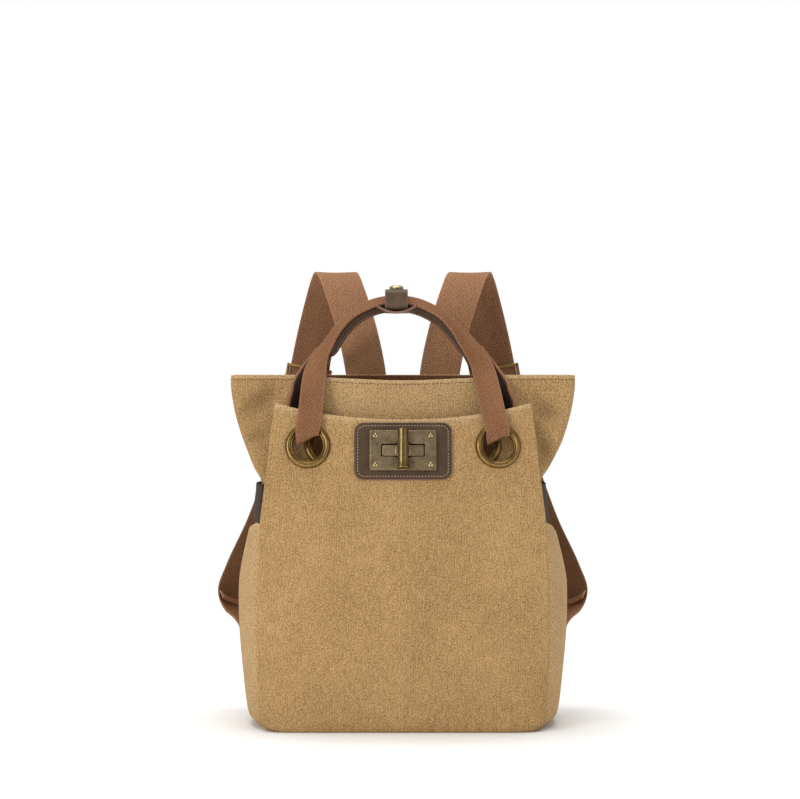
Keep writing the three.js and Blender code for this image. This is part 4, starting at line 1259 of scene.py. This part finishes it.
def second_ply(frame_at):
    """The ply under the arch: set back a little, with ends that taper and sink behind the upper ply."""
    first, last = arch_shares(frame_at, PLY_END_HEIGHT)

    def ply_point(u, v):
        centre, across, face, width = frame_at(first + (last - first) * v)
        leaving = (np.abs(2 * v - 1) ** 8)[..., None]
        sideways = (0.5 - u)[..., None] * width * (1 - 0.4 * leaving) + 2.6 * MM * (1 - leaving)
        return centre + across * sideways - face * (WEBBING_WALL + 0.1 * MM + 1.2 * MM * leaving)
    return ply_point


def grip_surface(frame_at, radius, sector):
    """A roll under the arch, or a sector of it, given in degrees from its back edge over its top."""
    first, last = arch_shares(frame_at, GRIP_END_HEIGHT)

    def grip_point(u, v):
        centre, across, face, _ = frame_at(first + (last - first) * v)
        turn = np.radians(sector[0] + (sector[1] - sector[0]) * u)[..., None]
        past = np.clip((np.abs(2 * v - 1) - 0.9) / 0.1, 0, 1)[..., None]
        reach = radius * np.sqrt(1 - past ** 2)
        middle = centre - face * GRIP_DROP - across * GRIP_FORWARD
        return middle + (across * np.cos(turn) + face * np.sin(turn)) * reach
    return grip_point


# %% Webbing and grips of the handles
def front_handle_painted_shade(u, v):
    """Painted shade on the ply that returns behind the front legs, apart from its outer edge."""
    from_end = np.minimum(v, 1 - v) * 2 * (len(ARCH["x"]) + len(FRONT_LEG["x"]) - 1)
    behind = smooth_step(from_end, 0.2, 1.4) * (1 - smooth_step(from_end, 5.5, 7))
    return -behind * smooth_step(u, 0.08, 0.14)


HANDLES = (
    # name, signs of its side, wear and painted shade, column of the seam along its roll
    ("front", (1, 1, 1), front_handle_painted_shade, 0.52),
    ("back", (1, -1, 1), None, 0.48),
)
for name, signs, wear_and_shade, seam_column in HANDLES:
    frame_at = handle_frames[name]
    webbing = cut_cloth("handle_webbing_" + name, on_side(ribbon(frame_at), signs), 16, 280, wear_and_shade,
                        start_row=140)
    thicken(webbing, WEBBING_WALL, WEBBING_EDGE, handle_webbing)
    ply = cut_cloth("second_ply", on_side(second_ply(frame_at), signs), 8, 160, start_row=80)
    thicken(ply, WEBBING_WALL, WEBBING_EDGE, handle_webbing)
    keep(joined(webbing, ply), "webbing", "handle_" + name)

    roll_face = on_side(grip_surface(frame_at, GRIP_RADIUS, (0, 360)), signs)
    roll = cut_cloth("leather_roll_" + name, roll_face, 24, 120)
    close_seam(roll)
    roll.data.materials.append(leather)
    lip_face = on_side(grip_surface(frame_at, GRIP_RADIUS + LIP_PROUD, LIP_SECTOR), signs)
    lip = cut_cloth("roll_lip", lip_face, 4, 110)
    thicken(lip, 0.9 * MM, 0.2 * MM, leather_edge)
    keep(joined(roll, lip), "leather", "grip_" + name)
    seam = (np.full(300, seam_column), np.linspace(0.03, 0.97, 300))
    sew("roll_stitches_" + name, roll_face, [seam], dark_thread, "leather", pitch=2.9 * MM, length=1.7 * MM)

# %% [markdown]
# ## Keeper and stud
# A tongue of leather goes round both handles at the middle of the arch and closes with a brass stud on
# top. Under the rolls it lies in a wider saddle, whose corners curl up. The tongue is a band carried
# round a squarish loop, and the saddle is a flat strip carried onto its bent shape.

# %% Keeper and stud
KEEPER_HALF_DEPTH = 30.5 * MM
KEEPER_HEIGHTS = (379.6 * MM, 401 * MM)
TONGUE_WIDTH = 21 * MM
SADDLE = {"bottom": 377.6 * MM, "width": 37 * MM, "half_depth": 32.5 * MM, "bow": 1.6 * MM,
          "curl": 5 * MM, "rise": 4 * MM}
KEEPER_SQUARENESS = 0.45


def tongue_point(u, v):
    """The outer face of the tongue, once round a squarish loop."""
    turn = 2 * np.pi * u
    depthwise, upwards = (np.sign(value) * np.abs(value) ** KEEPER_SQUARENESS
                          for value in (np.cos(turn), np.sin(turn)))
    low, high = KEEPER_HEIGHTS
    return np.stack([
        HANDLE_LEAN + (v - 0.5) * TONGUE_WIDTH,
        KEEPER_HALF_DEPTH * depthwise,
        (low + high) / 2 + (high - low) / 2 * upwards,
    ], axis=-1)


def saddle_point(u, v):
    """The under side of the saddle, which rises to the back and whose corners curl up at both ends."""
    sideways = 2 * u - 1
    depthwise = 1 - 2 * v
    curl = SADDLE["bow"] + SADDLE["curl"] * smooth_step(np.abs(depthwise), 0.62, 1)
    return np.stack([
        HANDLE_LEAN + sideways * SADDLE["width"] / 2,
        SADDLE["half_depth"] * depthwise,
        SADDLE["bottom"] + curl * sideways ** 2 + SADDLE["rise"] * (1 + depthwise) / 2,
    ], axis=-1)


keeper = cut_cloth("leather_keeper", tongue_point, 120, 8)
close_seam(keeper)
thicken(keeper, LEATHER_WALL, 0.9 * MM, keeper_leather, leather_edge)
saddle = cut_cloth("saddle", saddle_point, 24, 36)
thicken(saddle, LEATHER_WALL, 0.5 * MM, leather, leather_edge)
keep(joined(keeper, saddle), "leather", "handle_keeper")

STUD_PROFILE = (
    (0, 0.1), (2.6, 0.1), (2.8, 0.6), (6.1, 0.8), (6.7, 1.2), (6.8, 1.8),
    (6.5, 2.6), (5.6, 3.4), (4.1, 4), (2.2, 4.3), (0, 4.4),
)
stud = turned("stud_brass", STUD_PROFILE, rubbed_brass, steps=40)
put(stud, Matrix.Translation((HANDLE_LEAN, 0, KEEPER_HEIGHTS[1])))
keep(stud, "brass", "keeper_stud")

# %% [markdown]
# ## Shoulder straps
# Each strap is a length of 38 mm webbing. It is sewn to the back wall below the rim, rises behind the
# handles, folds over at the top and hangs down behind the bag; near the ground it swings out beside the
# pocket and returns to the lower corner. The left one is made and the right one is its mirror image.

# %% Straps
STRAP_WIDTH = 38 * MM
FOLD_SHADE = 0.12
STRAP = table("x y z turn", [
    (-34, 49.2, 274, 0),
    (-34, 45.2, 298, 0),
    (-35, 44, 322, 0),
    (-43, 56, 362, 0),
    (-56, 72, 404, 0),
    (-62, 84, 419, 0),
    (-67, 97, 422, 0),
    (-71, 109, 414, 0),
    (-77, 118, 394, 0),
    (-85, 122, 362, 0),
    (-92, 120, 328, 0),
    (-101, 113, 282, 0),
    (-114, 103, 232, 8),
    (-134, 93, 178, 28),
    (-157, 87, 134, 50),
    (-167, 84.5, 110, 60),
    (-163.5, 82, 95, 55),
    (-148, 78, 81, 32),
    (-124.5, 70, 64, 0),
    (-98, 66.9, 46, 0),
])
STRAP_TILT = math.radians(38)
station_count = len(STRAP["x"])
STRAP["side"] = np.full(station_count, -1.0)
STRAP["width"] = np.full(station_count, STRAP_WIDTH)
STRAP["slant"] = np.zeros(station_count)
strap_frame = webbing_frame(STRAP, np.array((0, -math.cos(STRAP_TILT), math.sin(STRAP_TILT))))
left_strap = ribbon(strap_frame)


def left_fold(u, v):
    """A rolled band across the inner face, where the strap turns back; it sags towards the bag."""
    first = 14.9 + 0.4 * (1 - u ** 2)
    last = 15.25 + 0.65 * (1 - u ** 1.5)
    centre, across, face, width = strap_frame((first + (last - first) * v) / (station_count - 1))
    swell = (WEBBING_WALL + 0.3 * MM + 3.2 * MM * np.sin(np.pi * (0.12 + 0.68 * v)))[..., None]
    return centre + across * (u - 0.5)[..., None] * 0.95 * width - face * swell


def strap_painted_shade(u, v):
    """Painted shade on the part that hangs behind the bag, down to its fold."""
    index = v * (station_count - 1)
    hanging = 0.3 * smooth_step(index, 6, 8) + 0.2 * smooth_step(index, 11.5, 13.5)
    below = smooth_step(index, 15.2, 16.2)
    return -hanging * (1 - below)


STRAP_SIDES = (("left", (1, 1, 1)), ("right", (-1, 1, 1)))
for name, signs in STRAP_SIDES:
    strap = cut_cloth("strap_webbing_" + name, on_side(left_strap, signs), 8, 380, strap_painted_shade,
                      start_row=120)
    thicken(strap, WEBBING_WALL, WEBBING_EDGE, strap_webbing)
    fold = cut_cloth("strap_fold", on_side(left_fold, signs), 20, 12, lambda u, v: 0 * u - FOLD_SHADE,
                     start_row=0)
    thicken(fold, WEBBING_WALL, WEBBING_EDGE, strap_webbing)
    keep(joined(strap, fold), "webbing", "strap_" + name)


# %% Stitches that hold the straps to the back wall
def high_end(u, v):
    """The face of the upper end that is seen from behind."""
    centre, across, face, width = strap_frame(0.004 + 0.066 * v)
    return centre + across * (u - 0.5)[..., None] * width - face * (WEBBING_WALL + 0.1 * MM)


def low_end(u, v):
    """The face of the lower end that is seen from behind, which the fold has turned over."""
    return left_strap(u, 0.96 + 0.036 * v)


for name, signs in STRAP_SIDES:
    for end, end_face in (("high", high_end), ("low", low_end)):
        sew(f"strap_stitches_{end}_{name}", on_side(end_face, signs), [frame_path(0.12, 0.12)],
            dark_thread, "webbing")

# %% Sliders
SLIDER_STATION = 10.2
SLIDER_BARS = (
    # size and middle of each bar, in millimetres, on the strap's own axes
    ((3, 24, 6.8), (-20.8, 0, -0.8)),
    ((3, 24, 6.8), (20.8, 0, -0.8)),
    ((44.6, 3, 2), (0, -10.5, -3.2)),
    ((44.6, 3, 2), (0, 0, 1.6)),
    ((44.6, 3, 2), (0, 10.5, -3.2)),
)
slider_share = np.array([SLIDER_STATION / (station_count - 1)])
centre, across, face, _ = (values[0] for values in strap_frame(slider_share))
slider_seat = Matrix((across, np.cross(face, across), face)).transposed().to_4x4()
slider_seat.translation = centre
bars = []
for size, place in SLIDER_BARS:
    bar = added("bar", bpy.ops.mesh.primitive_cube_add, size=MM)
    put(bar, Matrix.Translation(Vector(place) * MM) @ Matrix.Diagonal((*size, 1)))
    soften(bar, 0.7)
    bars.append(bar)
slider = joined(*bars)
slider.name = "slider_brass_left"
slider.data.materials.append(ring_brass)
put(slider, slider_seat)
other_slider = copy_of(slider, "slider_brass_right")
put(other_slider, Matrix.Scale(-1, 4, (1, 0, 0)))
edit(other_slider, (bpy.ops.mesh.normals_make_consistent, {}))
keep(slider, "brass", "strap_slider_left")
keep(other_slider, "brass", "strap_slider_right")
